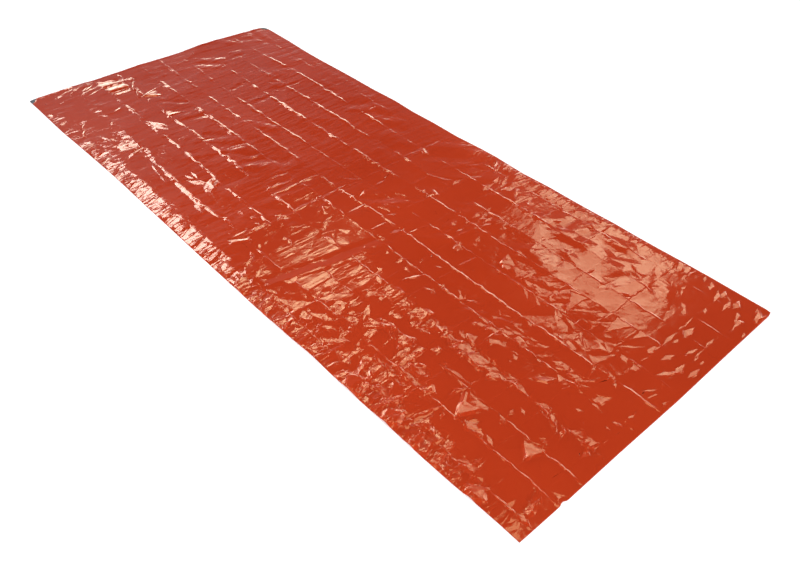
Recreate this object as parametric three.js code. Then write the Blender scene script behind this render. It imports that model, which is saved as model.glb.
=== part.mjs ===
// Emergency sleeping bag: two rectangles of thin glossy film, one on the other, joined along both long sides and
// the foot and open at the mouth. It lies flat, just unfolded from its packet, so the upper film keeps the folds.
//
// Millimetres, +Z up. The origin is on the surface the bag lies on, under the middle of the bag.
// +Y runs from the foot to the mouth, +X from the left side to the right side seen from the foot.
import * as THREE from "three";

// ---- driving dimensions ----
const LENGTH = 2104;       // foot edge to mouth edge
const WIDTH = 920;         // side weld to side weld
const FILM = 1.0;          // thickness each film is modelled at
const WELD_GAP = 0.3;      // space kept between the two films at the welds
const LOFT = 1.25;         // how far the upper film stands off the lower one between folds
const FREE_MAX = 3.9;      // the most the two films stand apart anywhere
const FOLD_HALF = 7;       // half the width of a lengthwise fold's ridge or trough
const WELD_EASE = 26;      // distance over which the film rises from a weld to its full loft
const CORNER_CUT = 9;      // the upper film's mouth corners are this much shorter than the lower film's
const LOWER_LIP = 0.6;     // the lower film's mouth edge bulges this share of what the upper one's does
const SHIFT_ACROSS = 0.75; // brings the middle of the bag's box over the origin
const SHIFT_ALONG = -5.2;
const FILM_COLOUR = 0xb6341c;

// ---- lengthwise folds: distance from the left side at the mouth, the middle and the foot; rise of the fold ----
// a positive rise is a ridge and a negative one a trough; wander is how far the line strays from straight
const LONG_FOLDS = [
  { atMouth: 52,  atMiddle: 47,  atFoot: 39,  rise: -0.9, wander: 2.0 },
  { atMouth: 143, atMiddle: 127, atFoot: 116, rise: 2.3,  wander: 3.0 },
  { atMouth: 226, atMiddle: 210, atFoot: 189, rise: -0.8, wander: 2.5 },
  { atMouth: 306, atMiddle: 292, atFoot: 272, rise: 2.0,  wander: 3.0 },
  { atMouth: 395, atMiddle: 388, atFoot: 372, rise: 1.5,  wander: 2.5 },
  { atMouth: 464, atMiddle: 462, atFoot: 455, rise: 2.4,  wander: 3.0 },
  { atMouth: 532, atMiddle: 537, atFoot: 533, rise: -0.7, wander: 2.5 },
  { atMouth: 626, atMiddle: 625, atFoot: 622, rise: 1.9,  wander: 2.0 },
  { atMouth: 706, atMiddle: 709, atFoot: 694, rise: 2.1,  wander: 3.0 },
  { atMouth: 780, atMiddle: 787, atFoot: 763, rise: 1.7,  wander: 3.0 },
  { atMouth: 856, atMiddle: 862, atFoot: 868, rise: -0.9, wander: 2.5 },
];

// ---- cross folds: distance from the mouth on the left side and on the right side, and the rise of the fold ----
// out figures say how far the outline bulges there, to the left and to the right of a straight edge
const CROSS_FOLDS = [
  { left: 62,   right: 58,   rise: 0.7,  leftOut: 2.5,  rightOut: -1.0 },
  { left: 150,  right: 146,  rise: -0.4, leftOut: 4.0,  rightOut: -2.5 },
  { left: 246,  right: 250,  rise: 0.8,  leftOut: 4.5,  rightOut: -7.0 },
  { left: 338,  right: 342,  rise: -0.5, leftOut: 2.0,  rightOut: -8.5 },
  { left: 440,  right: 446,  rise: 0.9,  leftOut: 0.0,  rightOut: -6.0 },
  { left: 540,  right: 538,  rise: -0.5, leftOut: -1.5, rightOut: -5.0 },
  { left: 640,  right: 636,  rise: 0.7,  leftOut: -1.0, rightOut: -5.5 },
  { left: 742,  right: 736,  rise: -0.4, leftOut: 0.5,  rightOut: -1.0 },
  { left: 840,  right: 842,  rise: 0.8,  leftOut: 1.0,  rightOut: -5.5 },
  { left: 936,  right: 938,  rise: 1.0,  leftOut: 2.0,  rightOut: -3.0 },
  { left: 1036, right: 1030, rise: 1.5,  leftOut: 3.0,  rightOut: -5.0 },
  { left: 1140, right: 1144, rise: 1.1,  leftOut: 3.5,  rightOut: 1.0 },
  { left: 1196, right: 1240, rise: -0.6, leftOut: 4.0,  rightOut: 2.0 },
  { left: 1312, right: 1318, rise: 0.9,  leftOut: 5.0,  rightOut: -3.5 },
  { left: 1408, right: 1402, rise: 0.9,  leftOut: 3.5,  rightOut: 1.0 },
  { left: 1494, right: 1490, rise: 1.0,  leftOut: 0.5,  rightOut: 0.0 },
  { left: 1572, right: 1560, rise: -0.5, leftOut: 2.5,  rightOut: 0.5 },
  { left: 1636, right: 1640, rise: 1.2,  leftOut: 3.5,  rightOut: 2.5 },
  { left: 1716, right: 1712, rise: -0.6, leftOut: 3.0,  rightOut: 1.0 },
  { left: 1784, right: 1776, rise: 0.9,  leftOut: 3.0,  rightOut: 1.5 },
  { left: 1842, right: 1848, rise: 1.0,  leftOut: 3.5,  rightOut: 3.0 },
  { left: 1932, right: 1920, rise: 1.1,  leftOut: 2.5,  rightOut: 3.5 },
  { left: 1990, right: 1988, rise: -0.5, leftOut: 0.0,  rightOut: 2.5 },
  { left: 2060, right: 2062, rise: 0.9,  leftOut: -1.5, rightOut: 1.5 },
];

// ---- mouth edge: how far it bulges past a straight edge and how far its upper film lifts, across the bag ----
const MOUTH_EDGE = [
  { across: 0,   out: 2,  lift: 0.0 },
  { across: 60,  out: 2,  lift: 0.3 },
  { across: 200, out: 3,  lift: 0.9 },
  { across: 330, out: 5,  lift: 0.6 },
  { across: 450, out: 8,  lift: 1.2 },
  { across: 560, out: 9,  lift: 1.0 },
  { across: 640, out: 12, lift: 2.2 },
  { across: 705, out: 13, lift: 2.4 },
  { across: 755, out: 8,  lift: 1.0 },
  { across: 850, out: 4,  lift: 0.5 },
  { across: 900, out: 2,  lift: 0.2 },
  { across: 920, out: -4, lift: 0.0 },
];

// ---- foot edge: how far it bulges past a straight edge, with the small nick in it ----
const FOOT_EDGE = [
  { across: 0,   out: -1 },
  { across: 100, out: 0 },
  { across: 118, out: 0 },
  { across: 124, out: -6 },
  { across: 136, out: 1 },
  { across: 300, out: 1 },
  { across: 510, out: 3 },
  { across: 700, out: 1 },
  { across: 900, out: 0 },
  { across: 920, out: -4 },
];

// value of a named column of a table at a place, straight between its rows
function along(table, key, column, at) {
  if (at <= table[0][key]) return table[0][column];
  for (let i = 1; i < table.length; i++) {
    const a = table[i - 1], b = table[i];
    if (at <= b[key]) return a[column] + (b[column] - a[column]) * (at - a[key]) / (b[key] - a[key]);
  }
  return table[table.length - 1][column];
}

const smooth = (t) => { const c = Math.min(1, Math.max(0, t)); return c * c * (3 - 2 * c); };

// the outline's sideways bulge at a distance from the mouth
const bulge = (column, fromMouth) => along(CROSS_FOLDS, "left", column, fromMouth);

// where a lengthwise fold runs, as a distance from the left side
function foldLine(fold, fromMouth) {
  const t = fromMouth / LENGTH;
  const straight = t < 0.5
    ? fold.atMouth + (fold.atMiddle - fold.atMouth) * smooth(2 * t)
    : fold.atMiddle + (fold.atFoot - fold.atMiddle) * smooth(2 * t - 1);
  return straight + fold.wander * Math.sin(fromMouth / 170 + fold.atMouth);
}

// ---- columns across the bag: both sides, and for each lengthwise fold its line and its two flanks ----
const COLUMNS = [{ edge: "left" }];
for (const fold of LONG_FOLDS)
  for (const flank of [-FOLD_HALF, 0, FOLD_HALF]) COLUMNS.push({ fold, flank });
COLUMNS.push({ edge: "right" });

// ---- rows along the bag, from mouth to foot: each cross fold and one row midway to the next ----
const ROWS = [{ left: 0, right: 0, rise: 0, mouth: true }];
for (const fold of CROSS_FOLDS) {
  const last = ROWS[ROWS.length - 1];
  ROWS.push({ left: (last.left + fold.left) / 2, right: (last.right + fold.right) / 2, rise: 0 });
  ROWS.push(fold);
}
ROWS.push({ left: 2090, right: 2088, rise: 0 });
ROWS.push({ left: LENGTH, right: LENGTH, rise: 0, foot: true });

// a slow, uneven swell of the film, between -1 and 1
const swell = (across, fromMouth) =>
  0.5 * Math.sin(across / 97 + 1.9 * Math.sin(fromMouth / 410)) * Math.cos(fromMouth / 233 + 0.7) +
  0.5 * Math.sin(fromMouth / 151 - across / 214 + 2.1);

// a lengthwise fold is not equally sharp all the way: it fades in and out
const strength = (fold, fromMouth) => 0.72 + 0.28 * Math.sin(fromMouth / 132 + fold.atMiddle / 9);

// point of the panel on a column and a row, in the flat plane, before any relief
function plan(column, row, lip = 1) {
  const across0 = column.edge === "left" ? 0 : column.edge === "right" ? WIDTH : foldLine(column.fold, row.left) + column.flank;
  const share = across0 / WIDTH;
  let fromMouth = row.left + (row.right - row.left) * share;
  let across = across0;
  if (column.edge === "left") across -= bulge("leftOut", fromMouth);
  if (column.edge === "right") across += bulge("rightOut", fromMouth);
  if (row.mouth) fromMouth -= lip * along(MOUTH_EDGE, "across", "out", across0);
  if (row.foot) fromMouth += along(FOOT_EDGE, "across", "out", across0);
  if (column.edge === "right" && (row.mouth || row.foot)) across -= 5;
  return { across, fromMouth };
}

// free height between the two films at a point of the upper film
function freeHeight(column, row) {
  const { across, fromMouth } = plan(column, row);
  const fromWeld = Math.min(across, WIDTH - across, LENGTH - fromMouth);
  const ease = smooth(fromWeld / WELD_EASE);
  let height = LOFT + 0.55 * swell(across, fromMouth) + row.rise;
  if (column.fold) height += column.flank === 0 ? column.fold.rise * strength(column.fold, fromMouth) : -0.1 * column.fold.rise;
  const nearMouth = smooth(1 - fromMouth / 90);
  height += nearMouth * along(MOUTH_EDGE, "across", "lift", Math.max(0, across));
  return WELD_GAP + Math.max(0, Math.min(FREE_MAX - WELD_GAP, height * ease));
}

// a film panel is a box split into columns and rows and laid over the points that place() gives
function filmPanel(name, columnCount, rowCount, place, colour) {
  const geometry = new THREE.BoxGeometry(1, 1, 1, columnCount - 1, rowCount - 1, 1);
  const position = geometry.attributes.position;
  for (let k = 0; k < position.count; k++) {
    const column = Math.round((position.getX(k) + 0.5) * (columnCount - 1));
    const row = Math.round((0.5 - position.getY(k)) * (rowCount - 1));
    const { x, y, z } = place(column, row, position.getZ(k) > 0);
    position.setXYZ(k, x, y, z);
  }
  geometry.computeVertexNormals();
  const material = new THREE.MeshStandardMaterial({ color: colour, roughness: 0.22, metalness: 0.25 });
  const mesh = new THREE.Mesh(geometry, material);
  mesh.name = name;
  return mesh;
}

// ---- lower film: flat on the surface, the bag's full outline ----
const LOWER_COLUMNS = [COLUMNS[0], ...COLUMNS.filter((c) => c.flank === 0), COLUMNS[COLUMNS.length - 1]];
const LOWER_ROWS = ROWS.filter((r) => r.mouth || r.foot || r.leftOut !== undefined);
const lower = filmPanel("lower_panel", LOWER_COLUMNS.length, LOWER_ROWS.length, (c, r, top) => {
  const { across, fromMouth } = plan(LOWER_COLUMNS[c], LOWER_ROWS[r], LOWER_LIP);
  return { x: across - WIDTH / 2 + SHIFT_ACROSS, y: LENGTH / 2 - fromMouth + SHIFT_ALONG, z: top ? FILM : 0 };
}, FILM_COLOUR);

// ---- upper film: the folds, the swell, the lifted lip; a little short at the two mouth corners ----
const upper = filmPanel("upper_panel", COLUMNS.length, ROWS.length, (c, r, top) => {
  const column = COLUMNS[c], row = ROWS[r];
  const { across, fromMouth } = plan(column, row);
  const corner = row.mouth && column.edge ? CORNER_CUT : 0;
  const inward = column.edge === "left" ? corner : -corner;
  const z = FILM + freeHeight(column, row) + (top ? FILM : 0);
  return { x: across + 0.5 * inward - WIDTH / 2 + SHIFT_ACROSS, y: LENGTH / 2 - fromMouth - corner + SHIFT_ALONG, z };
}, FILM_COLOUR);

const bag = new THREE.Group();
bag.name = "emergency_sleeping_bag";
bag.add(lower, upper);

export default bag;
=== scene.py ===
"""Emergency sleeping bag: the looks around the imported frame.

Lengths in the tables are millimetres on the bag as it lies: "across" from its left side, "down" from its mouth.
"""

import math

import bpy
import numpy as np
from mathutils import Matrix, Vector


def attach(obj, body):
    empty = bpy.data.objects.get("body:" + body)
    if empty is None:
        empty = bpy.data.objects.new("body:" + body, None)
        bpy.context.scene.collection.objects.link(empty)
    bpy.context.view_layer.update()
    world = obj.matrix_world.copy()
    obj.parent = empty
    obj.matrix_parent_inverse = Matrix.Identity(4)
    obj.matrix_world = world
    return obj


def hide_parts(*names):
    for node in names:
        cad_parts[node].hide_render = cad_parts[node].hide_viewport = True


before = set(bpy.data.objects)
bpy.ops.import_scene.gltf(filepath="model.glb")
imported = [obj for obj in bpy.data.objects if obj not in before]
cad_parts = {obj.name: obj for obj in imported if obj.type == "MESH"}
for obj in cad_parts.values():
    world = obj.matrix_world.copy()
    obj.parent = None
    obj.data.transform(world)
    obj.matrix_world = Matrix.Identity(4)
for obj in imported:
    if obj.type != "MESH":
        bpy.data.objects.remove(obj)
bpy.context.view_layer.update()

# ------------------------------------------------------------------ sizes shared with the frame
LENGTH, WIDTH = 2104.0, 920.0
SHIFT_ACROSS, SHIFT_ALONG = 0.75, -5.2
UNDER_TOP = 0.35         # the lower film's top face
SEAM_TOP = 0.85          # the upper film's top face at the welds
WELD_EASE = 30.0
LEFT_EASE = 24.0
EDGE_LIFT = ((0, 1180, 1300, 1400, 1950, 2104), (0.2, 0.2, 2.2, 2.6, 2.2, 0.4))   # the left weld curls up off the floor
# along the left weld the film stands up in a shoulder and droops to the edge: how steeply, at stations along the bag
SHOULDER = 3.4
DROOP = ((0, 340, 356, 362, 386, 394, 440, 446, 484, 492, 520, 526, 562, 572, 582, 588, 616, 628, 640, 688, 696, 712, 720, 816, 826, 850, 856, 880, 888, 920, 926,
          972, 984, 992, 1022, 1030, 1038, 1058, 1066, 1078, 1096, 1104, 1140, 1150, 1212, 1245, 2104),
         (0.0, 0.01, 0.01, 0.10, 0.09, 0.0, 0.0, 0.11, 0.10, 0.0, 0.01, 0.10, 0.08, 0.0, 0.02, 0.10, 0.09, 0.0, 0.045, 0.045, 0.10, 0.09, 0.11, 0.11, 0.0, 0.01, 0.07, 0.06, 0.0, 0.02, 0.11,
          0.10, 0.0, 0.09, 0.08, 0.0, 0.07, 0.06, 0.0, 0.08, 0.07, 0.0, 0.0, 0.11, 0.10, 0.0, 0.0))
CORNER_CUT = 15.0        # the upper film's mouth corners stop short of the lower film's

# lengthwise folds: distance from the left side at ten stations down the bag, and the height of the roof around the
# fold (minus for a trough)
STATIONS = (0, 198, 395, 593, 790, 988, 1185, 1482, 1778, 2104)
LONG_FOLDS = [
    dict(at=(46, 46, 46, 48, 51, 49, 45, 41, 42, 37), broad=-0.5),
    dict(at=(142, 141, 138, 123, 118, 126, 119, 119, 115, 112), broad=0.9),
    dict(at=(221, 219, 219, 221, 216, 210, 202, 199, 193, 184), broad=-0.5),
    dict(at=(301, 298, 297, 300, 296, 294, 287, 285, 276, 265), broad=0.8),
    dict(at=(389, 389, 389, 388, 386, 387, 384, 378, 375, 370), broad=0.5),
    dict(at=(464, 459, 457, 457, 457, 448, 459, 453, 451, 452), broad=0.9),
    dict(at=(537, 531, 526, 526, 530, 532, 534, 533, 530, 527), broad=-0.4),
    dict(at=(633, 621, 617, 614, 616, 618, 621, 621, 623, 619), broad=0.6),
    dict(at=(701, 701, 699, 701, 700, 704, 697, 696, 694, 690), broad=0.8),
    dict(at=(769, 776, 789, 786, 782, 780, 778, 778, 769, 759), broad=0.7),
    dict(at=(852, 858, 852, 860, 857, 860, 863, 859, 857, 857), broad=-0.5),
]

# where the crest of each lengthwise fold stands up (fold number: from, to, strength)
CRESTS = {
    0: [(1908, 2104, 0.9), (1662, 1722, 0.5), (1770, 1829, 0.6), (1338, 1466, 0.3), (641, 700, 0.5)],
    1: [(490, 563, 1.7), (563, 603, 2), (602, 720, 1.7), (720, 799, 2.3), (798, 877, 2.5), (877, 971, 1.8),
        (1111, 1250, 0.35), (1258, 1318, 0.5), (1672, 1722, 0.6), (1760, 1849, 0.7), (1899, 1963, 0.9),
        (1962, 2104, 0.7)],
    2: [(160, 200, 0.5), (223, 263, 0.9), (278, 337, 0.5), (362, 426, 0.9), (469, 504, 0.8), (494, 558, 1),
        (587, 641, 1), (651, 725, 1.2), (735, 775, 0.7), (838, 857, 0.9), (857, 927, 0.9), (936, 1000, 1.2),
        (1000, 1039, 0.7), (1111, 1151, 0.7), (1711, 1780, 0.8), (1780, 1844, 0.6), (1913, 1997, 0.8),
        (2026, 2104, 0.9)],
    3: [(12, 42, 0.5), (140, 190, 0.9), (317, 372, 0.9), (405, 455, 0.8), (494, 588, 1.1), (612, 696, 1.1),
        (700, 789, 1.2), (803, 823, 0.6), (828, 877, 1.1), (887, 922, 0.7), (921, 1000, 1.1), (1000, 1024, 1.1),
        (1185, 1230, 0.8), (1288, 1436, 0.5), (1726, 1780, 0.8), (1839, 1889, 0.7)],
    4: [(150, 200, 0.9), (199, 258, 0.6), (307, 347, 0.5), (377, 430, 1.1), (430, 524, 0.9), (514, 622, 1.2),
        (621, 799, 1.25), (818, 838, 0.9), (853, 922, 1.4), (922, 956, 0.6), (995, 1024, 1), (1043, 1083, 1),
        (1117, 1132, 1), (1244, 1278, 0.6), (1288, 1338, 0.9), (1338, 1436, 0.5), (1445, 1495, 0.8),
        (1509, 1583, 0.9), (1623, 1692, 0.7), (1760, 1810, 0.8), (1820, 1879, 0.9)],
    5: [(2, 40, 0.7), (61, 113, 0.9), (123, 144, 0.9), (207, 222, 1.1), (222, 268, 0.4), (342, 381, 0.9),
        (417, 430, 0.7), (455, 516, 0.9), (597, 666, 1.2), (666, 789, 1.2), (798, 843, 1.3), (843, 897, 0.5),
        (902, 932, 0.9), (955, 1005, 0.7), (1043, 1093, 1.2), (1141, 1161, 0.9), (1176, 1210, 0.7),
        (1229, 1249, 0.5), (1288, 1436, 1.1), (1435, 1485, 1.1), (1485, 1722, 1.1), (1750, 1879, 0.8),
        (1879, 1933, 0.7), (2011, 2104, 0.8)],
    6: [(2, 17, 0.6), (61, 77, 0.8), (140, 200, 0.9), (236, 260, 0.9), (297, 337, 0.3), (410, 484, 1.1),
        (484, 642, 1.1), (651, 720, 1.2), (720, 770, 1.1), (769, 857, 0.3), (857, 882, 1.1), (896, 1044, 0.35),
        (1141, 1161, 0.8), (1195, 1205, 0.6), (1249, 1263, 0.9), (1338, 1352, 0.8), (1372, 1426, 1),
        (1425, 1485, 0.6), (1485, 1593, 0.6), (1593, 1682, 0.8), (1731, 1760, 0.8), (1800, 1859, 0.8)],
    7: [(131, 160, 0.6), (160, 182, 0.9), (223, 258, 0.5), (295, 337, 0.8), (367, 401, 1.2), (430, 455, 0.6),
        (462, 504, 1.1), (514, 667, 1.3), (700, 745, 1.2), (745, 819, 1.2), (838, 865, 0.9), (902, 961, 0.9),
        (960, 1094, 0.4), (1190, 1205, 0.7), (1215, 1235, 0.9), (1258, 1318, 0.8), (1338, 1426, 0.8),
        (1425, 1450, 0.6), (1495, 1583, 0.5), (1603, 1662, 0.5)],
    8: [(129, 160, 0.8), (243, 270, 0.5), (322, 391, 1.1), (430, 504, 0.8), (509, 563, 1), (557, 641, 1.3),
        (641, 720, 1.4), (720, 789, 1.1), (823, 857, 1), (897, 932, 0.5), (985, 1005, 0.8), (1033, 1058, 0.6),
        (1328, 1367, 0.8), (1387, 1441, 1.1), (1574, 1662, 0.7), (1721, 1780, 0.4), (1908, 1938, 0.9)],
    9: [(32, 56, 0.7), (199, 223, 0.7), (233, 337, 1), (390, 445, 1.2), (445, 524, 1.4), (524, 642, 1.2),
        (641, 656, 1), (725, 745, 0.9), (760, 814, 1.2), (823, 848, 1), (867, 882, 0.6), (965, 980, 0.5),
        (1185, 1205, 0.6), (1214, 1258, 0.8), (1288, 1308, 1), (1308, 1417, 0.8), (1435, 1445, 0.9),
        (1475, 1583, 1.1), (1593, 1662, 0.8)],
    10: [(138, 160, 1), (168, 190, 0.6), (307, 386, 0.4), (656, 700, 1), (700, 712, 0.6), (755, 772, 0.7),
        (1215, 1252, 0.4), (1391, 1504, 0.8), (1504, 1702, 0.9), (1701, 1780, 0.6)],
}

# cross folds: place on the left and right side, height, which strips (between lengthwise folds, counted from the left) they cross,
# and the outline's bulge there
CROSS_FOLDS = [
    dict(left=71, right=67, rise=0.15, strips=(0, 11), bulge=(2.5, -1.0)),
    dict(left=158, right=154, rise=0.15, strips=(2, 9), bulge=(4.0, -2.5)),
    dict(left=254, right=258, rise=0.15, strips=(0, 11), bulge=(4.5, -7.0)),
    dict(left=346, right=350, rise=0.15, strips=(3, 11), bulge=(2.0, -8.5)),
    dict(left=447, right=453, rise=0.25, strips=(1, 9), bulge=(0.0, -6.0)),
    dict(left=547, right=545, rise=0.15, strips=(0, 11), bulge=(-1.5, -5.0)),
    dict(left=646, right=643, rise=0.2, strips=(0, 9), bulge=(-1.0, -5.5)),
    dict(left=748, right=742, rise=0.2, strips=(0, 11), bulge=(0.5, -1.0)),
    dict(left=846, right=848, rise=0.2, strips=(3, 11), bulge=(1.0, -5.5)),
    dict(left=941, right=943, rise=0.35, strips=(2, 11), bulge=(2.0, -3.0)),
    dict(left=1041, right=1035, rise=0.5, strips=(0, 11), bulge=(3.0, -5.0)),
    dict(left=1145, right=1149, rise=0.35, strips=(0, 11), bulge=(3.5, 1.0)),
    dict(left=1201, right=1244, rise=0.3, strips=(0, 11), bulge=(4.0, 2.0)),
    dict(left=1316, right=1322, rise=0.35, strips=(0, 11), bulge=(5.0, -3.5)),
    dict(left=1412, right=1406, rise=0.35, strips=(0, 11), bulge=(3.5, 1.0)),
    dict(left=1497, right=1494, rise=0.4, strips=(0, 11), bulge=(0.5, 0.0)),
    dict(left=1575, right=1563, rise=0.3, strips=(0, 11), bulge=(2.5, 0.5)),
    dict(left=1639, right=1643, rise=0.6, strips=(0, 11), bulge=(3.5, 2.5)),
    dict(left=1719, right=1715, rise=0.5, strips=(0, 11), bulge=(3.0, 1.0)),
    dict(left=1786, right=1779, rise=0.4, strips=(0, 6), bulge=(3.0, 1.5)),
    dict(left=1844, right=1850, rise=0.6, strips=(2, 11), bulge=(3.5, 3.0)),
    dict(left=1934, right=1922, rise=0.45, strips=(0, 7), bulge=(2.5, 3.5)),
    dict(left=1992, right=1990, rise=0.35, strips=(0, 11), bulge=(0.0, 2.5)),
    dict(left=2062, right=2064, rise=0.35, strips=(0, 11), bulge=(-1.5, 1.5)),
]

# mouth edge: bulge past a straight edge and lift of the upper film's lip
MOUTH_ACROSS = (0, 60, 200, 330, 450, 560, 640, 705, 755, 850, 900, 920)
MOUTH_OUT = (2, 2, 3, 4, 5, 5, 7, 7, 5, 3, 2, -4)
MOUTH_LIFT = (0.3, 0.5, 1.0, 1.0, 1.8, 2.0, 3.2, 3.6, 2.4, 1.2, 0.6, 0.3)

# foot edge, with the small nick
FOOT_ACROSS = (0, 100, 118, 124, 136, 300, 510, 700, 900, 920)
FOOT_OUT = (-1, 0, 0, -5, 1, 1, 3, 1, 0, -1)

rng = np.random.default_rng(20)


def smooth(t):
    c = np.clip(t, 0.0, 1.0)
    return c * c * (3 - 2 * c)


def fold_line(fold, down):
    return np.interp(down, STATIONS, fold["at"])


def strip_edges(d):
    """The lines between strips at a distance down the bag: the left side, each lengthwise fold, the right side."""
    return [np.zeros_like(d)] + [fold_line(f, d) for f in LONG_FOLDS] + [np.full_like(d, WIDTH)]


def strip_share(a, d):
    """Strip number (0 at the left side) and the share across it."""
    edges = strip_edges(d)
    strip = np.zeros(a.shape, int)
    share = np.clip(a / np.maximum(1.0, edges[1]), 0, 1)
    for k in range(1, len(edges) - 1):
        m = a >= edges[k]
        strip[m] = k
        share[m] = np.clip((a - edges[k]) / np.maximum(1.0, edges[k + 1] - edges[k]), 0, 1)[m]
    return strip, share


# ------------------------------------------------------------------ the crease net
class Net:
    """Points and crease segments in the flat plane, from which the film's triangles are made."""

    def __init__(self):
        self.points, self.edges, self.count = [], [], 0

    def line(self, a, d):
        """An open line of crease through the points."""
        a, d = np.asarray(a, float), np.asarray(d, float)
        inside = (a > 0.4) & (a < WIDTH - 0.4) & (d > 0.4) & (d < LENGTH - 0.4)
        idx = np.full(len(a), -1)
        n = int(inside.sum())
        idx[inside] = self.count + np.arange(n)
        self.points.append(np.stack([a[inside], d[inside]], -1))
        self.count += n
        ok = (idx[:-1] >= 0) & (idx[1:] >= 0)
        self.edges.append(np.stack([idx[:-1][ok], idx[1:][ok]], -1))

    def segments(self, p, q):
        """Separate crease segments from the points p to the points q, both (n, 2)."""
        inside = np.ones(len(p), bool)
        for e in (p, q):
            inside &= (e[:, 0] > 0.4) & (e[:, 0] < WIDTH - 0.4) & (e[:, 1] > 0.4) & (e[:, 1] < LENGTH - 0.4)
        p, q = p[inside], q[inside]
        n = len(p)
        self.points += [p, q]
        self.edges.append(np.stack([self.count + np.arange(n), self.count + n + np.arange(n)], -1))
        self.count += 2 * n


class Lattice:
    """Flat three-sided facets: scattered points with heights, straight between them.
    cell is (long, short); the long way runs across the bag turned by turn degrees; mask(a, d) scales the heights."""

    def __init__(self, cell, turn, height, seed, mask=None, spread=0.36):
        r = np.random.default_rng(seed)
        self.cell, self.ct, self.st = cell, math.cos(math.radians(turn)), math.sin(math.radians(turn))
        corners = [(0, 0), (WIDTH, 0), (0, LENGTH), (WIDTH, LENGTH)]
        us = [(a * self.ct + d * self.st) / cell[0] for a, d in corners]
        vs = [(-a * self.st + d * self.ct) / cell[1] for a, d in corners]
        self.u0, self.v0 = math.floor(min(us)) - 3, math.floor(min(vs)) - 3
        nu, nv = math.ceil(max(us)) - self.u0 + 4, math.ceil(max(vs)) - self.v0 + 4
        self.pu = self.u0 + np.arange(nu)[:, None] + r.uniform(-spread, spread, (nu, nv))
        self.pv = self.v0 + np.arange(nv)[None, :] + r.uniform(-spread, spread, (nu, nv))
        self.a = self.pu * cell[0] * self.ct - self.pv * cell[1] * self.st
        self.d = self.pu * cell[0] * self.st + self.pv * cell[1] * self.ct
        self.m = np.ones((nu, nv)) if mask is None else mask(self.a, self.d)
        self.z = r.uniform(-1, 1, (nu, nv)) * height * self.m
        self.flip = r.random((nu, nv)) < 0.5

    def net(self, net):
        nu, nv = self.z.shape
        p = np.stack([self.a, self.d], -1)
        i, j = np.meshgrid(np.arange(nu - 1), np.arange(nv - 1), indexing="ij")
        f = self.flip[i, j]
        ends = [((i, j), (i + 1, j)), ((i, j), (i, j + 1)), (np.where(f, i, i + 1), j)]
        pairs = [(p[i, j], p[i + 1, j], self.m[i, j] + self.m[i + 1, j]), (p[i, j], p[i, j + 1], self.m[i, j] + self.m[i, j + 1])]
        d0 = np.where(f[..., None], p[i, j], p[i + 1, j])
        d1 = np.where(f[..., None], p[i + 1, j + 1], p[i, j + 1])
        md = np.where(f, self.m[i, j] + self.m[i + 1, j + 1], self.m[i + 1, j] + self.m[i, j + 1])
        pairs.append((d0, d1, md))
        for a, b, m in pairs:
            keep = m.ravel() > 0.08
            net.segments(a.reshape(-1, 2)[keep], b.reshape(-1, 2)[keep])

    def height(self, a, d):
        u = (a * self.ct + d * self.st) / self.cell[0]
        v = (-a * self.st + d * self.ct) / self.cell[1]
        out, done = np.zeros_like(u), np.zeros(u.shape, bool)
        iu, iv = np.floor(u).astype(int) - self.u0, np.floor(v).astype(int) - self.v0
        pu, pv, pz = self.pu, self.pv, self.z
        for du in (0, -1, 1):
            for dv in (0, -1, 1):
                i, j = iu + du, iv + dv
                f = self.flip[i, j]
                c00, c10, c01, c11 = (i, j), (i + 1, j), (i, j + 1), (i + 1, j + 1)
                for one, two in (((c00, c10, c11), (c00, c10, c01)), ((c00, c11, c01), (c10, c11, c01))):
                    xs = [np.where(f, pu[s], pu[t]) for s, t in zip(one, two)]
                    ys = [np.where(f, pv[s], pv[t]) for s, t in zip(one, two)]
                    zs = [np.where(f, pz[s], pz[t]) for s, t in zip(one, two)]
                    det = (ys[1] - ys[2]) * (xs[0] - xs[2]) + (xs[2] - xs[1]) * (ys[0] - ys[2])
                    w0 = ((ys[1] - ys[2]) * (u - xs[2]) + (xs[2] - xs[1]) * (v - ys[2])) / det
                    w1 = ((ys[2] - ys[0]) * (u - xs[2]) + (xs[0] - xs[2]) * (v - ys[2])) / det
                    w2 = 1 - w0 - w1
                    inside = (w0 >= -1e-7) & (w1 >= -1e-7) & (w2 >= -1e-7) & ~done
                    out = np.where(inside, w0 * zs[0] + w1 * zs[1] + w2 * zs[2], out)
                    done |= inside
        return out


def ellipse(across, down, half_across, half_down):
    """Mask: 1 inside an ellipse, falling to 0 at its edge."""
    return lambda a, d: smooth(1.7 * (1 - np.sqrt(((a - across) / half_across) ** 2 + ((d - down) / half_down) ** 2)) + 0.1)


def block(across, down, soft=18.0):
    """Mask: 1 inside a rectangle (across from-to, down from-to), falling to 0 over soft millimetres."""
    def mask(a, d):
        x = np.minimum(a - across[0], across[1] - a) / soft + 1
        y = np.minimum(d - down[0], down[1] - d) / (2 * soft) + 1
        return smooth(x) * smooth(y)
    return mask


def mirror_flat(a, d):
    """1 where the film lies flat and mirrors evenly."""
    return np.maximum(np.maximum(block((560, 900), (1600, 2000), 40)(a, d), block((112, 296), (1120, 1380), 14)(a, d)),
                      np.maximum(0.9 * block((20, 112), (120, 340), 30)(a, d), 0.75 * block((700, 930), (-20, 1120), 50)(a, d)))


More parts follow.
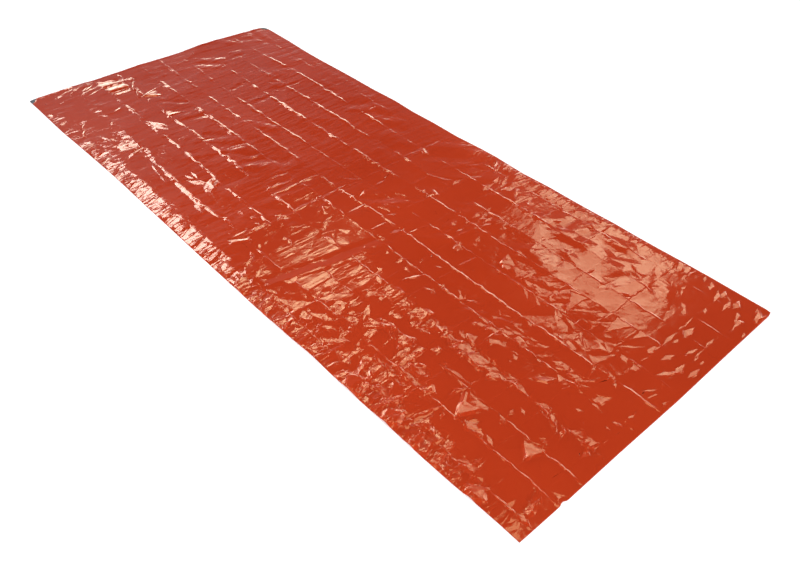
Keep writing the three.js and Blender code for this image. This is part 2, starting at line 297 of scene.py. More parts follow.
# crumpled places: mask, size of the facets (long, short), turn of their long way from across, height of their corners
CRUMPLED = [
    dict(mask=lambda a, d: (1 - 0.7 * mirror_flat(a, d)) * (1 - 0.5 * block((380, 920), (450, 1060))(a, d)), cell=(58, 47), turn=20, height=0.34),
    dict(mask=block((-10, 50), (350, 1225), 6), cell=(36, 19), turn=-14, height=0.3),
    dict(mask=block((42, 115), (1363, 1693)), cell=(34, 18), turn=-38, height=1.5),
    dict(mask=block((119, 200), (1373, 1653)), cell=(38, 20), turn=-55, height=1.45),
    dict(mask=block((222, 289), (1288, 1430), 8), cell=(60, 11), turn=3, height=0.45),
    dict(mask=block((257, 289), (1393, 1833), 8), cell=(24, 11), turn=12, height=0.9),
    dict(mask=block((0, 44), (1133, 2043), 6), cell=(32, 15), turn=-10, height=1.7),
    dict(mask=block((356, 408), (1543, 1943)), cell=(20, 14), turn=30, height=1.3),
    dict(mask=block((541, 618), (1538, 1883)), cell=(27, 18), turn=48, height=1.1),
    dict(mask=block((451, 526), (1792, 1962)), cell=(34, 24), turn=-40, height=1.4),
    dict(mask=block((780, 857), (1154, 1484)), cell=(40, 17), turn=14, height=0.8),
    dict(mask=block((862, 920), (1133, 1933), 8), cell=(52, 19), turn=4, height=0.55),
    dict(mask=block((535, 695), (1344, 1474)), cell=(36, 14), turn=8, height=0.8),
    dict(mask=block((625, 905), (1962, 2104)), cell=(60, 44), turn=15, height=0.9),
    dict(mask=block((376, 616), (1902, 2092)), cell=(64, 44), turn=-50, height=1.1),
    dict(mask=block((255, 287), (1842, 2092), 8), cell=(19, 13), turn=-30, height=1.1),
    dict(mask=block((92, 137), (1643, 1773), 8), cell=(22, 14), turn=20, height=1.1),
    dict(mask=block((39, 71), (1643, 1883), 8), cell=(22, 14), turn=20, height=1.1),
    dict(mask=ellipse(215, 50, 110, 80), cell=(30, 16), turn=-60, height=0.75),
    dict(mask=block((67, 137), (357, 512)), cell=(44, 12), turn=8, height=0.24),
    dict(mask=block((137, 212), (128, 308)), cell=(44, 26), turn=-30, height=0.3),
    dict(mask=lambda a, d: block((0, 920), (0, 420))(a, d) * (1 - 0.8 * mirror_flat(a, d)), cell=(84, 56), turn=-24, height=0.26),
    dict(mask=block((137, 397), (426, 1036)), cell=(78, 44), turn=5, height=0.28),
    dict(mask=lambda a, d: block((395, 920), (406, 1036))(a, d) * (1 - 0.7 * mirror_flat(a, d)), cell=(84, 50), turn=-4, height=0.14),
    dict(mask=block((625, 855), (1503, 1903)), cell=(44, 30), turn=12, height=0.32),
]


class Cells:
    """The cells between lengthwise and cross folds: each corner has its own height, and each cell bends on one diagonal."""

    def __init__(self, height, seed):
        r = np.random.default_rng(seed)
        self.down = np.array([0.0] + [0.5 * (f["left"] + f["right"]) for f in CROSS_FOLDS] + [LENGTH])
        self.z = r.uniform(-1, 1, (len(self.down), len(LONG_FOLDS) + 2)) * height * np.interp(self.down, (900, 1200), (0.72, 1.0))[:, None]
        self.z[:, 0] = self.z[:, -1] = 0
        self.flip = r.random(self.z.shape) < 0.5

    def rows(self, a):
        left = np.array([0.0] + [f["left"] for f in CROSS_FOLDS] + [LENGTH])
        right = np.array([0.0] + [f["right"] for f in CROSS_FOLDS] + [LENGTH])
        return left[:, None] + (right - left)[:, None] * a[None, :] / WIDTH

    def height(self, a, d):
        strip, u = strip_share(a, d)
        rows = self.rows(a)
        gap = np.clip((d[None, :] >= rows).sum(0) - 1, 0, len(self.down) - 2)
        cols = np.arange(len(a))
        r0, r1 = rows[gap, cols], rows[gap + 1, cols]
        v = np.clip((d - r0) / np.maximum(1.0, r1 - r0), 0, 1)
        z00, z10 = self.z[gap, strip], self.z[gap, strip + 1]
        z01, z11 = self.z[gap + 1, strip], self.z[gap + 1, strip + 1]
        f = self.flip[gap, strip]
        main = np.where(u >= v, z00 + u * (z10 - z00) + v * (z11 - z10), z00 + v * (z01 - z00) + u * (z11 - z01))
        anti = np.where(u + v <= 1, z00 + u * (z10 - z00) + v * (z01 - z00), z11 + (1 - u) * (z01 - z11) + (1 - v) * (z10 - z11))
        return np.where(f, main, anti)

    def net(self, net):
        for g in range(len(self.down) - 1):
            for k in range(len(LONG_FOLDS) + 1):
                t = np.linspace(0.03, 0.97, 9)
                u = t if self.flip[g, k] else 1 - t
                d_guess = self.down[g] + (self.down[g + 1] - self.down[g]) * t
                e = strip_edges(d_guess)
                a = e[k] + (e[k + 1] - e[k]) * u
                rows = self.rows(a)
                net.line(a, rows[g] + (rows[g + 1] - rows[g]) * t)


def wave(a, d):
    return 0.5 * np.sin(a / 97 + 1.9 * np.sin(d / 410)) * np.cos(d / 233 + 0.7) + 0.5 * np.sin(d / 151 - a / 214 + 2.1)


def crest_nodes():
    """Each fold's crest as a bent line: places, sideways offset, height, and width of the far and near flank."""
    r = np.random.default_rng(31)
    for k, f in enumerate(LONG_FOLDS):
        d = np.cumsum(r.uniform(6, 16, 260) * np.interp(np.arange(260), (60, 110), (1.45, 1.0)))
        d = np.concatenate([[3.0], 3 + d[d < LENGTH - 8], [LENGTH - 3.0]])
        n = len(d)
        far_half = np.interp(d, (900, 1300), (1.0, 0.0))
        uneven = np.clip(np.sin(d / 37 + 1.7 * k) + 0.7 * np.sin(d / 13 + k), 0, 1.4)
        strength = np.interp(d, (1250, 1400), (0.13, 0.0)) * (0.4 + uneven) + np.interp(d, (1250, 1400), (0, 0.52 if k < 4 else 0.36)) * (0.2 + 0.85 * uneven)
        for start, end, high in CRESTS[k]:
            strength = np.maximum(strength, high * smooth((d - start) / 12 + 0.5) * smooth((end - d) / 12 + 0.5))
        steep = far_half * np.interp(f["at"][2], (0, 230, 450, WIDTH), (0.38, 0.34, 0.28, 0.27)) + (1 - far_half) * np.interp(f["at"][5], (0, WIDTH), (0.44, 0.26))
        f["d"] = d
        f["off"] = r.uniform(-1, 1, n) * (0.6 + 1.6 * far_half) + fold_line(f, d)
        f["far"] = r.uniform(0.55, 1.35, n) * (4.2 + 1.3 * far_half) * np.clip(0.3 + 0.7 * strength, 0.3, 2.1)
        f["high"] = f["far"] * steep * r.uniform(0.9, 1.12, n) * smooth(strength / 0.35) * np.clip(0.45 + 0.5 * strength + (1 - far_half) * (0.4 - 0.3 * strength), 0, 1)
        f["near"] = r.uniform(0.8, 1.8, n) * (2.4 + (1.8 if k < 4 else 4.4) * far_half)
        if k == 1:                # its left flank lies broad and even where it is brightest
            broad = smooth((d - 480) / 25) * smooth((975 - d) / 40)
            wide = r.uniform(0.55, 1.3, n) * np.interp(d, (480, 515, 585, 615, 680, 760, 820, 870, 890, 960), (3, 10, 8, 5, 8, 13, 14, 8, 6, 4))
            f["off"] = f["off"] + (np.interp(d, (480, 520, 560, 640, 720, 790, 880, 930, 970), (13, 10, 5, 2, 0, -2, -3, 2, 10)) + r.uniform(-1.5, 1.5, n)) * broad
            f["far"] = f["far"] * (1 - broad) + 4.5 * broad
            f["high"] = f["high"] * (1 - broad) + r.uniform(0.15, 0.21, n) * wide * broad
            f["near"] = f["near"] * (1 - broad) + wide * broad


crest_nodes()


def long_folds(a, d):
    z = np.zeros_like(a)
    for f in LONG_FOLDS:
        line, high, far, near = (np.interp(d, f["d"], f[key]) for key in ("off", "high", "far", "near"))
        x = a - line
        z += high * np.clip(1 - np.where(x > 0, x / far, -x / near), 0, 1) + f["broad"] * np.exp(-np.abs(x) / 24)
    return z


def long_folds_net(net):
    for f in LONG_FOLDS:
        for line in (f["off"] - f["near"], f["off"], f["off"] + f["far"]):
            net.line(line, f["d"])


cross_rng = np.random.default_rng(5)
for f in CROSS_FOLDS:
    f["offsets"] = cross_rng.uniform(-2.5, 2.5, 12)
    f["amounts"] = cross_rng.uniform(0.3, 1.3, 12)
    f["on"] = (np.arange(12) >= f["strips"][0]) & (np.arange(12) <= f["strips"][1])
CROSS_HALF = 3.2


def cross_line(f, strip, share, a):
    return f["left"] + (f["right"] - f["left"]) * a / WIDTH + f["offsets"][strip] * np.sin(np.pi * share)


def cross_folds(a, d):
    strip, share = strip_share(a, d)
    z = np.zeros_like(a)
    for f in CROSS_FOLDS:
        x = np.abs(d - cross_line(f, strip, share, a))
        ends = 0.35 + 0.65 * np.sin(np.pi * share) ** 0.5
        z += f["on"][strip] * f["amounts"][strip] * f["rise"] * ends * (0.8 * np.clip(1 - x / CROSS_HALF, 0, 1) + 0.5 * np.exp(-x / 20))
    return z


def cross_folds_net(net):
    for f in CROSS_FOLDS:
        for k in range(12):
            if not f["on"][k]:
                continue
            share = np.linspace(0.04, 0.96, 7)
            e = strip_edges(np.full(7, 0.5 * (f["left"] + f["right"])))
            a = e[k] + (e[k + 1] - e[k]) * share
            line = cross_line(f, np.full(7, k), share, a)
            for side in (-1, 0, 1):
                net.line(a, line + side * CROSS_HALF)


# pleats of the left weld: from, to (the high side), reach from the weld, slope, and how the lines lean down the bag
PLEATS = [
    (363, 388, 38, 0.19, -0.3), (392, 404, 36, 0.18, -0.4), (458, 472, 42, 0.19, -0.5), (472, 488, 42, 0.2, -0.5),
    (537, 555, 40, 0.19, -0.8), (585, 603, 40, 0.17, -0.5), (603, 620, 42, 0.18, -0.5), (630, 644, 50, 0.14, -0.6),
    (658, 672, 52, 0.13, -0.7), (686, 703, 52, 0.16, -0.4), (705, 725, 52, 0.17, -0.4), (729, 741, 56, 0.19, -0.2),
    (741, 755, 56, 0.2, -0.2), (765, 782, 54, 0.21, -0.1), (782, 800, 55, 0.22, -0.1), (800, 824, 54, 0.21, 0.0),
    (834, 846, 42, 0.16, -0.3), (849, 863, 44, 0.15, -0.3), (871, 895, 18, 0.2, -0.3), (903, 915, 36, 0.16, -0.3),
    (916, 930, 40, 0.18, -0.3), (933, 952, 52, 0.22, -0.1), (952, 976, 54, 0.22, -0.1), (980, 994, 46, 0.17, -0.2),
    (996, 1018, 44, 0.16, -0.3), (1037, 1049, 30, 0.14, -0.9), (1062, 1070, 24, 0.12, -0.2), (1093, 1104, 44, 0.16, -0.7),
    (1148, 1170, 46, 0.24, -0.8),
    (1177, 1203, 42, 0.25, -0.8), (1251, 1264, 46, 0.22, -0.4), (1278, 1294, 50, 0.24, -0.7),
    (1294, 1312, 46, 0.25, -0.7), (1359, 1383, 44, 0.26, -0.3), (1575, 1590, 36, 0.28, 0.2),
    (1592, 1618, 46, 0.28, -0.2), (1624, 1640, 46, 0.28, -0.1), (1705, 1719, 40, 0.28, -0.3),
    (1721, 1744, 44, 0.28, -0.1),
]
# smaller gathers of the two long welds: how strong they are at stations along the bag
WELD_LEFT = ((0, 340, 480, 560, 1110, 1150, 1200, 1700, 1950, 2104), (0.1, 0.2, 0.25, 0.25, 0.3, 1.3, 1.3, 1.2, 0.9, 0.3))
WELD_RIGHT = ((0, 700, 1130, 1300, 1850, 1950, 2104), (0.0, 0.05, 0.3, 0.7, 0.8, 0.4, 0.2))
GATHERS = []
gather_rng = np.random.default_rng(7)
for start, end, reach, slope, lean in PLEATS:
    GATHERS.append(dict(side="left", at=end, far=end - start, near=2.0, reach=reach, lean=lean + gather_rng.uniform(-0.1, 0.1),
                        height=np.interp(end, (380, 640, 700, 1120, 1200, 1240), (0.45, 0.42, 0.3, 0.3, 0.5, 1.1)) * slope * (end - start), top=2.0, hold=0.7, taper=gather_rng.uniform(0.0, 0.35)))
for side, stations in (("left", WELD_LEFT), ("right", WELD_RIGHT)):
    at = 4.0
    while at < LENGTH - 12:
        at += gather_rng.uniform(9, 21)
        GATHERS.append(dict(
            side=side, at=at, far=gather_rng.uniform(5.0, 12.0), near=gather_rng.uniform(2.0, 4.5), reach=gather_rng.uniform(26, 50),
            lean=gather_rng.uniform(-0.3, 0.3), height=gather_rng.uniform(0.5, 1.5) * float(np.interp(at, *stations)),
            top=9.0, hold=0.25, taper=1.0))


def gathers(a, d):
    z = np.zeros_like(a)
    for g in GATHERS:
        x = a if g["side"] == "left" else WIDTH - a
        m = (x < g["reach"]) & (np.abs(d - g["at"]) < 45)
        xm, dm = x[m], d[m]
        off = dm - g["at"] - g["lean"] * (xm - 20)
        half = np.where(off < 0, g["far"], g["near"]) * np.maximum(1 - g["taper"] * xm / g["reach"], 0.02)
        hold = g["hold"] * g["reach"]
        up = np.where(xm < g["top"], 0.6 + 0.4 * xm / g["top"], np.clip((g["reach"] - xm) / (g["reach"] - hold), 0, 1))
        z[m] = np.maximum(z[m], g["height"] * up * np.clip(1 - np.abs(off) / half, 0, 1))
    return z


def gathers_net(net):
    for g in GATHERS:
        if g["height"] < 0.15:
            continue
        x = np.array([0.6, g["top"], g["hold"] * g["reach"], g["reach"] * 0.97])
        for edge in (-g["far"], 0.0, g["near"]):
            d = g["at"] + g["lean"] * (x - 20) + edge * (1 - g["taper"] * x / g["reach"])
            net.line(x if g["side"] == "left" else WIDTH - x, d)


# single facets, each flat and tilted its own way: middle (across, down), size (long, short), turn of the long way from
# across, rise across and down in millimetres a metre, and shape
FACET_COLUMNS = ("across", "down", "long", "short", "turn", "rise_across", "rise_down", "shape")
FACETS = [
# far left corner
    (251, 51, 66, 36, 7, -42, 129, "wedge"),
    (254, 90, 64, 34, 4, 0, 145, "four"),
    (253, 115, 62, 13, 2, 0, 149, "four"),
    (256, 134, 52, 15, 2, 0, 149, "four"),
    (174, 47, 69, 9, 142, 99, 172, "sliver"),
    (181, 56, 55, 9, 166, 16, 149, "sliver"),
    (181, 80, 47, 10, 160, 33, 155, "sliver"),
    (169, 42, 37, 6, 144, 72, 126, "sliver"),
    (105, 25, 71, 9, 157, 50, 155, "sliver"),
    (141, 29, 41, 7, 145, 72, 126, "sliver"),
    (107, 30, 38, 6, 152, 54, 120, "sliver"),
    (316, 65, 29, 13, 28, -41, 125, "kite"),
    (310, 101, 47, 7, 119, 240, 174, "sliver"),
    (301, 115, 49, 6, 114, 328, 189, "sliver"),
    (301, 161, 48, 8, 100, -296, 0, "sliver"),
    (288, 170, 41, 5, 113, 337, 194, "sliver"),
    (320, 205, 44, 44, -172, -85, 117, "wedge"),
    (295, 234, 13, 7, 132, 83, 186, "sliver"),
    (318, 361, 48, 28, 16, -63, 141, "wedge"),
    (236, 400, 78, 24, 69, 112, -70, "kite"),
    (216, 412, 44, 10, 100, 129, -17, "sliver"),
    (224, 240, 38, 10, 82, -182, 81, "sliver"),
    (191, 226, 29, 8, 148, 43, 134, "sliver"),
    (126, 389, 23, 11, 149, 67, -37, "kite"),
    (136, 412, 16, 7, 83, 77, -29, "sliver"),
    (105, 426, 62, 9, 175, 7, -147, "sliver"),
    (104, 453, 48, 26, 8, 23, -105, "four"),
    (118, 490, 43, 12, 155, 42, 199, "kite"),
    (89, 503, 31, 10, 147, 61, -13, "sliver"),
    (75, 373, 31, 8, 63, 56, -44, "sliver"),
    (91, 389, 21, 7, 70, -125, 90, "sliver"),
    (133, 297, 15, 9, 113, 85, 190, "kite"),
    (10, 132, 20, 12, 45, -45, 138, "kite"),
    (20, 203, 20, 10, 151, 13, 127, "sliver"),
    (46, 283, 75, 5, 110, 407, 181, "sliver"),
    (176, 713, 43, 9, 97, 123, 12, "sliver"),
    (160, 711, 28, 8, 69, 99, -17, "sliver"),
    (163, 746, 54, 20, 57, 93, -34, "kite"),
    (180, 787, 67, 34, 132, 138, 35, "kite"),
    (201, 786, 30, 14, 127, 134, 232, "sliver"),
    (313, 576, 29, 26, -2, -57, 128, "wedge"),
    (182, 848, 16, 7, 109, -271, 28, "sliver"),
    (189, 988, 21, 9, 56, -112, 154, "sliver"),
    (182, 1018, 17, 6, 77, -188, 109, "sliver"),
# far left darker and lighter facets
    (581, 152, 67, 22, 42, -32, 36, "soft four"),
    (356, 312, 69, 14, 43, -52, 47, "soft sliver"),
    (422, 604, 78, 30, 109, 49, -5, "soft sliver"),
    (820, 73, 39, 24, 41, -11, 33, "soft kite"),
    (266, 650, 44, 16, 26, 18, -86, "soft kite"),
    (348, 626, 74, 26, 42, 31, -54, "soft kite"),
# far side, middle of the length
    (589, 729, 79, 24, 97, 68, -7, "soft kite"),
    (512, 1014, 53, 10, 48, -99, 72, "sliver"),
    (816, 676, 53, 50, -32, 24, -18, "soft four"),
    (818, 722, 52, 24, 17, -44, 60, "soft kite"),
    (811, 864, 74, 44, 86, 34, -20, "soft kite"),
    (731, 938, 84, 52, 93, 32, 0, "soft four"),
    (835, 776, 64, 26, 96, 62, -13, "soft kite"),
    (350, 753, 32, 14, -158, 27, -83, "soft four"),
    (359, 788, 52, 34, 22, -85, 76, "soft kite"),
    (360, 705, 42, 22, 45, 32, -71, "soft kite"),
    (338, 872, 108, 70, 87, 17, -6, "soft four"),
    (355, 999, 50, 34, 37, 11, -51, "soft kite"),
    (824, 1092, 99, 60, 51, 20, -18, "soft four"),
    (430, 768, 138, 30, 94, 50, -5, "soft sliver"),
    (422, 889, 84, 50, 93, 19, -8, "soft four"),
    (253, 803, 51, 46, 107, 32, -23, "soft kite"),
    (253, 884, 95, 52, 99, 5, -15, "soft four"),
    (169, 867, 98, 40, 93, 33, -15, "soft sliver"),
    (224, 1082, 57, 40, 94, 37, -21, "soft kite"),
# knot and the main cross band
    (252, 1037, 37, 14, 52, 10, -80, "kite"),
    (246, 1029, 28, 9, 148, -25, -96, "sliver"),
    (169, 1036, 71, 12, 170, -37, -96, "sliver"),
    (121, 1026, 50, 8, 175, 0, 254, "sliver"),
    (106, 1047, 44, 15, 24, -109, 245, "four"),
    (379, 1031, 23, 10, 168, 19, -79, "kite"),
    (330, 1031, 70, 10, 175, 0, 158, "sliver"),
    (415, 1032, 120, 10, -2, 0, 154, "sliver"),
    (773, 1027, 159, 14, -179, -13, 122, "sliver"),
    (780, 1042, 31, 12, 123, -276, -59, "sliver"),
    (487, 1090, 29, 8, 149, 102, 314, "sliver"),
    (562, 1082, 36, 10, 169, 0, 154, "sliver"),
    (361, 870, 52, 12, 7, -37, 113, "sliver"),
    (340, 908, 90, 10, 4, -14, 135, "sliver"),
    (353, 659, 55, 8, 7, -21, 98, "sliver"),
# middle, left side
    (132, 1101, 20, 8, 127, -46, -76, "sliver"),
    (95, 1121, 31, 9, 117, -101, -89, "sliver"),
    (70, 1142, 48, 8, 145, -77, -77, "sliver"),
    (200, 1116, 16, 9, 120, -24, -63, "kite"),
    (200, 1135, 15, 8, 113, -30, -58, "kite"),
    (199, 1160, 12, 8, 109, -7, -41, "kite"),
    (198, 1228, 22, 12, 100, 15, -9, "sliver"),
    (94, 1218, 56, 14, 14, -46, -33, "kite"),
    (174, 1181, 50, 6, 3, -7, -34, "sliver"),
    (177, 1205, 52, 12, -5, -1, -23, "sliver"),
    (160, 1142, 31, 6, 0, -23, -53, "sliver"),
    (337, 1191, 31, 20, -113, 27, -21, "wedge"),
    (349, 1097, 59, 7, 119, 16, -56, "sliver"),
    (318, 1139, 53, 11, 135, 8, -44, "sliver"),
    (428, 1135, 60, 9, -3, 0, 263, "sliver"),
    (412, 938, 65, 10, 4, 19, -113, "sliver"),
    (336, 939, 82, 6, 2, 8, -116, "sliver"),
    (422, 1235, 52, 6, 3, -28, 266, "sliver"),
    (298, 1274, 175, 24, -171, -10, 96, "sunk four"),
    (140, 1244, 148, 24, -168, -21, 98, "sunk four"),
    (263, 1099, 35, 6, 3, 8, -59, "sliver"),
    (265, 1144, 33, 6, 5, 8, -42, "sliver"),
    (271, 1115, 25, 6, 18, 25, -47, "sliver"),
    (284, 1204, 38, 14, 85, 31, -12, "sliver"),
    (123, 1263, 31, 14, 154, -24, -15, "kite"),
    (106, 1261, 27, 11, 48, -31, -13, "sliver"),
# crumpled place on the left side
    (242, 1434, 43, 20, 38, 16, 53, "four"),
    (237, 1411, 33, 8, 25, 9, 41, "sliver"),
    (270, 1638, 30, 20, 84, -168, -78, "kite"),
    (269, 1678, 51, 26, 113, -161, -55, "kite"),
    (240, 1570, 28, 20, 78, 42, 116, "sliver"),
    (245, 1598, 30, 13, 98, -187, -106, "sliver"),
    (228, 1524, 30, 16, 86, 26, 92, "sliver"),
    (225, 1505, 16, 10, 166, 21, 82, "sliver"),
    (238, 1456, 15, 10, 133, 19, 62, "sliver"),
    (274, 1375, 31, 13, 13, 22, 32, "sliver"),
    (278, 1402, 29, 13, 110, 56, 54, "sliver"),
    (179, 1383, 52, 13, -148, -20, 19, "sliver"),
    (146, 1371, 32, 15, -133, -14, 17, "sliver"),
    (150, 1351, 30, 7, -146, -7, 12, "sliver"),
    (142, 1411, 42, 33, 161, 9, 41, "four"),
    (180, 1418, 35, 10, 167, 0, 46, "sliver"),
    (182, 1430, 31, 13, -165, -17, 39, "sliver"),
    (158, 1451, 29, 13, 42, -18, 47, "sliver"),
    (142, 1461, 38, 20, 47, -25, 48, "kite"),
    (177, 1510, 46, 30, 59, -4, 75, "kite"),
    (190, 1534, 40, 18, 97, 7, 89, "four"),
    (181, 1569, 31, 23, 105, 9, 104, "kite"),
    (179, 1593, 35, 46, 153, 13, 115, "wedge"),
    (180, 1614, 25, 16, 135, 34, 131, "sliver"),
    (185, 1639, 16, 30, 76, 41, 143, "four"),
    (144, 1637, 37, 20, 174, 18, 134, "four"),
    (155, 1669, 30, 23, 100, 14, 147, "kite"),
    (131, 1670, 45, 21, 100, 1, 142, "four"),
    (138, 1480, 20, 10, 151, 11, 68, "sliver"),
    (141, 1526, 29, 21, 164, 30, 93, "four"),
    (137, 1343, 23, 8, 149, -6, 9, "sliver"),
    (190, 1336, 19, 11, 71, -5, 7, "kite"),
    (169, 1333, 25, 8, 162, 1, 8, "sliver"),
    (78, 1344, 66, 54, 20, -31, 18, "wedge"),
    (56, 1313, 30, 16, 77, -54, -9, "sliver"),
    (45, 1335, 45, 8, 96, -55, 2, "sliver"),
    (87, 1297, 27, 11, 42, -35, 0, "sliver"),
    (68, 1388, 40, 23, 8, -30, 35, "kite"),
    (96, 1420, 67, 15, 67, -41, 27, "sliver"),
    (94, 1424, 29, 10, 70, -42, 28, "sliver"),
    (82, 1453, 40, 12, 60, -43, 39, "sliver"),
    (100, 1470, 18, 8, -33, -4, 59, "sliver"),
    (48, 1479, 32, 20, 97, -66, 42, "kite"),
    (61, 1483, 27, 26, 17, -41, 52, "wedge"),
    (77, 1503, 28, 26, 45, -11, 70, "kite"),
    (91, 1542, 23, 13, 43, -21, 82, "sliver"),
    (60, 1539, 35, 26, 23, -15, 83, "wedge"),
    (47, 1553, 26, 13, 103, -68, 70, "sliver"),
    (85, 1576, 21, 10, 45, -34, 91, "sliver"),
    (81, 1595, 25, 13, 109, -41, 97, "sliver"),
    (72, 1610, 29, 20, 47, -36, 105, "kite"),
    (68, 1621, 34, 18, 22, -41, 112, "four"),
    (70, 1639, 30, 16, 157, 9, 132, "four"),
    (66, 1591, 20, 13, 53, -35, 98, "sliver"),
    (100, 1650, 60, 15, 101, -241, -101, "sliver"),
    (76, 1654, 43, 21, 169, -9, 132, "wedge"),
    (53, 1673, 24, 13, 115, 5, 145, "sliver"),
    (101, 1613, 40, 8, 101, -263, -118, "sliver"),
    (46, 1174, 28, 9, 100, -82, -61, "sliver"),
    (55, 1262, 26, 12, 67, -61, -21, "kite"),
    (49, 1293, 31, 14, 109, -58, -9, "sliver"),
# left weld
    (25, 1171, 27, 9, 86, -95, -66, "sliver"),
    (18, 1200, 52, 32, 134, -94, -55, "four"),
    (18, 1141, 24, 6, 175, -28, 266, "sliver"),
    (17, 1255, 31, 12, 165, -84, -32, "sliver"),
    (19, 1301, 41, 22, 146, -74, -11, "four"),
    (20, 1339, 25, 8, 171, -66, 5, "sliver"),
    (18, 1367, 36, 43, -8, -65, 11, "wedge"),
    (4, 1470, 46, 16, 82, -68, 39, "sliver"),
    (18, 1491, 24, 15, 7, -39, 72, "wedge"),
    (18, 1582, 21, 20, 139, -31, 96, "kite"),
    (22, 1599, 38, 13, 162, -17, 122, "sliver"),
    (19, 1619, 38, 40, 152, -71, 96, "four"),
    (19, 1639, 35, 18, 169, -20, 123, "four"),
    (18, 1698, 42, 12, 147, -10, 151, "sliver"),
    (17, 1724, 30, 16, 171, -7, 163, "four"),
    (19, 1741, 34, 33, 152, -49, 156, "four"),
    (20, 1792, 31, 20, 25, -39, 181, "sliver"),
    (24, 1816, 42, 43, 148, -33, 194, "four"),
    (22, 1839, 34, 18, 160, 15, 221, "four"),
    (19, 1877, 27, 23, 165, 19, 239, "four"),
    (18, 1896, 25, 13, 143, 22, 249, "sliver"),
    (17, 1918, 18, 13, 168, -20, 246, "sliver"),
    (18, 1930, 32, 10, 180, -17, 252, "sliver"),
    (18, 1979, 34, 33, 145, -217, 83, "four"),
    (9, 1669, 19, 13, 121, -21, 135, "sliver"),
# near left
    (55, 1713, 24, 30, 76, -34, 149, "kite"),
    (50, 1679, 35, 15, 83, -273, -88, "sliver"),
    (49, 1735, 19, 13, 121, 13, 174, "sliver"),
    (46, 1807, 44, 13, 94, -234, -42, "sliver"),
    (72, 1773, 63, 8, 18, -13, 182, "sliver"),
    (65, 1792, 37, 36, -19, -14, 190, "wedge"),
    (102, 1804, 21, 10, 158, 9, 203, "sliver"),
    (50, 1838, 24, 25, 132, -14, 211, "kite"),
    (56, 1865, 33, 20, 145, 24, 235, "sliver"),
    (52, 1914, 20, 13, 37, -213, 49, "kite"),
    (53, 1932, 22, 26, -13, -209, 35, "wedge"),
    (72, 1930, 22, 8, 3, 14, 263, "sliver"),
    (124, 1733, 29, 26, 72, 9, 172, "kite"),
    (120, 1685, 62, 15, 91, -239, -73, "sliver"),
    (150, 1682, 40, 23, 83, -212, -74, "kite"),
    (128, 1866, 29, 43, -176, -187, 32, "kite"),
    (123, 1885, 24, 16, 68, -185, 17, "kite"),
    (128, 1913, 33, 13, 115, -197, -2, "sliver"),
    (154, 1825, 62, 63, 175, -182, 12, "wedge"),
    (180, 1817, 47, 21, 118, -172, -15, "sliver"),
    (169, 1778, 29, 10, 18, 42, 203, "sliver"),
    (204, 1748, 55, 12, 80, -190, -21, "sliver"),
    (206, 1703, 14, 13, 135, 48, 173, "kite"),
    (220, 1660, 25, 16, 53, 48, 155, "kite"),
    (267, 1673, 33, 36, 119, 76, 171, "kite"),
    (271, 1705, 36, 33, 110, -155, -39, "four"),
    (269, 1751, 51, 33, 104, -151, -29, "four"),
    (265, 1800, 33, 56, -173, -138, -11, "wedge"),
    (284, 1825, 34, 13, 80, -126, 7, "sliver"),
    (253, 1700, 14, 10, 30, 73, 181, "sliver"),
    (280, 1865, 50, 10, 110, -164, -36, "sliver"),
    (279, 1927, 29, 13, 66, -110, 69, "kite"),
    (266, 1962, 35, 10, 128, -154, 23, "sliver"),
    (261, 1943, 21, 8, 112, -159, 11, "sliver"),
    (254, 1995, 28, 8, 153, 124, 333, "sliver"),
    (279, 2024, 29, 20, 59, -115, 92, "kite"),
    (277, 2049, 31, 23, 125, -136, 82, "kite"),
    (246, 2060, 27, 8, 163, 130, 367, "sliver"),
    (243, 2100, 17, 10, 170, -98, 171, "sliver"),
    (234, 1908, 14, 12, 124, -148, 28, "sliver"),
    (216, 1892, 15, 8, 172, -143, 37, "sliver"),
    (186, 1895, 30, 13, 118, -175, -4, "sliver"),
    (168, 1986, 38, 46, 164, -168, 50, "wedge"),
    (208, 1988, 18, 10, 93, -146, 74, "sliver"),
    (91, 2061, 28, 16, 150, 44, 337, "kite"),
    (62, 2071, 48, 16, 173, 29, 337, "sliver"),
    (41, 2074, 27, 13, 94, -210, 88, "sliver"),
    (126, 2098, 17, 15, 145, -169, 116, "wedge"),
# near middle
    (554, 1665, 22, 14, 154, -45, -40, "kite"),
    (548, 1688, 15, 8, 122, -43, 4, "sliver"),
    (551, 1725, 22, 14, 130, -35, -5, "kite"),
    (578, 1717, 19, 12, 38, -31, 8, "kite"),
    (516, 1711, 23, 8, 121, -51, -19, "sliver"),
    (516, 1679, 22, 8, 137, -57, -39, "sliver"),
    (522, 1668, 35, 8, 127, -57, -44, "sliver"),
    (579, 1768, 72, 40, 166, -16, 26, "wedge"),
    (582, 1807, 75, 8, 46, -25, 26, "sliver"),
    (557, 1848, 33, 16, 177, -10, 70, "wedge"),
    (590, 1884, 57, 40, -171, -26, 50, "wedge"),
    (606, 1938, 37, 22, -168, -28, 63, "wedge"),
    (560, 1946, 46, 8, 46, -44, 60, "sliver"),
    (591, 1984, 34, 14, 175, -26, 89, "kite"),
    (596, 2021, 39, 12, -158, -19, 114, "sliver"),
    (591, 2058, 40, 15, 176, -15, 136, "kite"),
    (555, 2046, 45, 14, -142, -44, 131, "sliver"),
    (601, 2085, 40, 12, -172, -7, 155, "sliver"),
    (538, 1920, 11, 7, 135, -56, 40, "sliver"),
    (510, 1774, 52, 10, 135, -91, -56, "sliver"),
    (525, 1770, 26, 12, 123, -54, -7, "kite"),
    (487, 1836, 48, 34, 17, -40, 51, "wedge"),
    (500, 1853, 36, 6, 141, -55, 21, "sliver"),
    (462, 1855, 29, 11, 106, -95, -13, "four"),
    (479, 1922, 43, 28, 20, -51, 60, "wedge"),
    (506, 1935, 40, 6, 7, -27, 109, "sliver"),
    (522, 1957, 25, 14, 119, -56, 61, "kite"),
    (516, 1990, 25, 16, 143, -26, 109, "kite"),
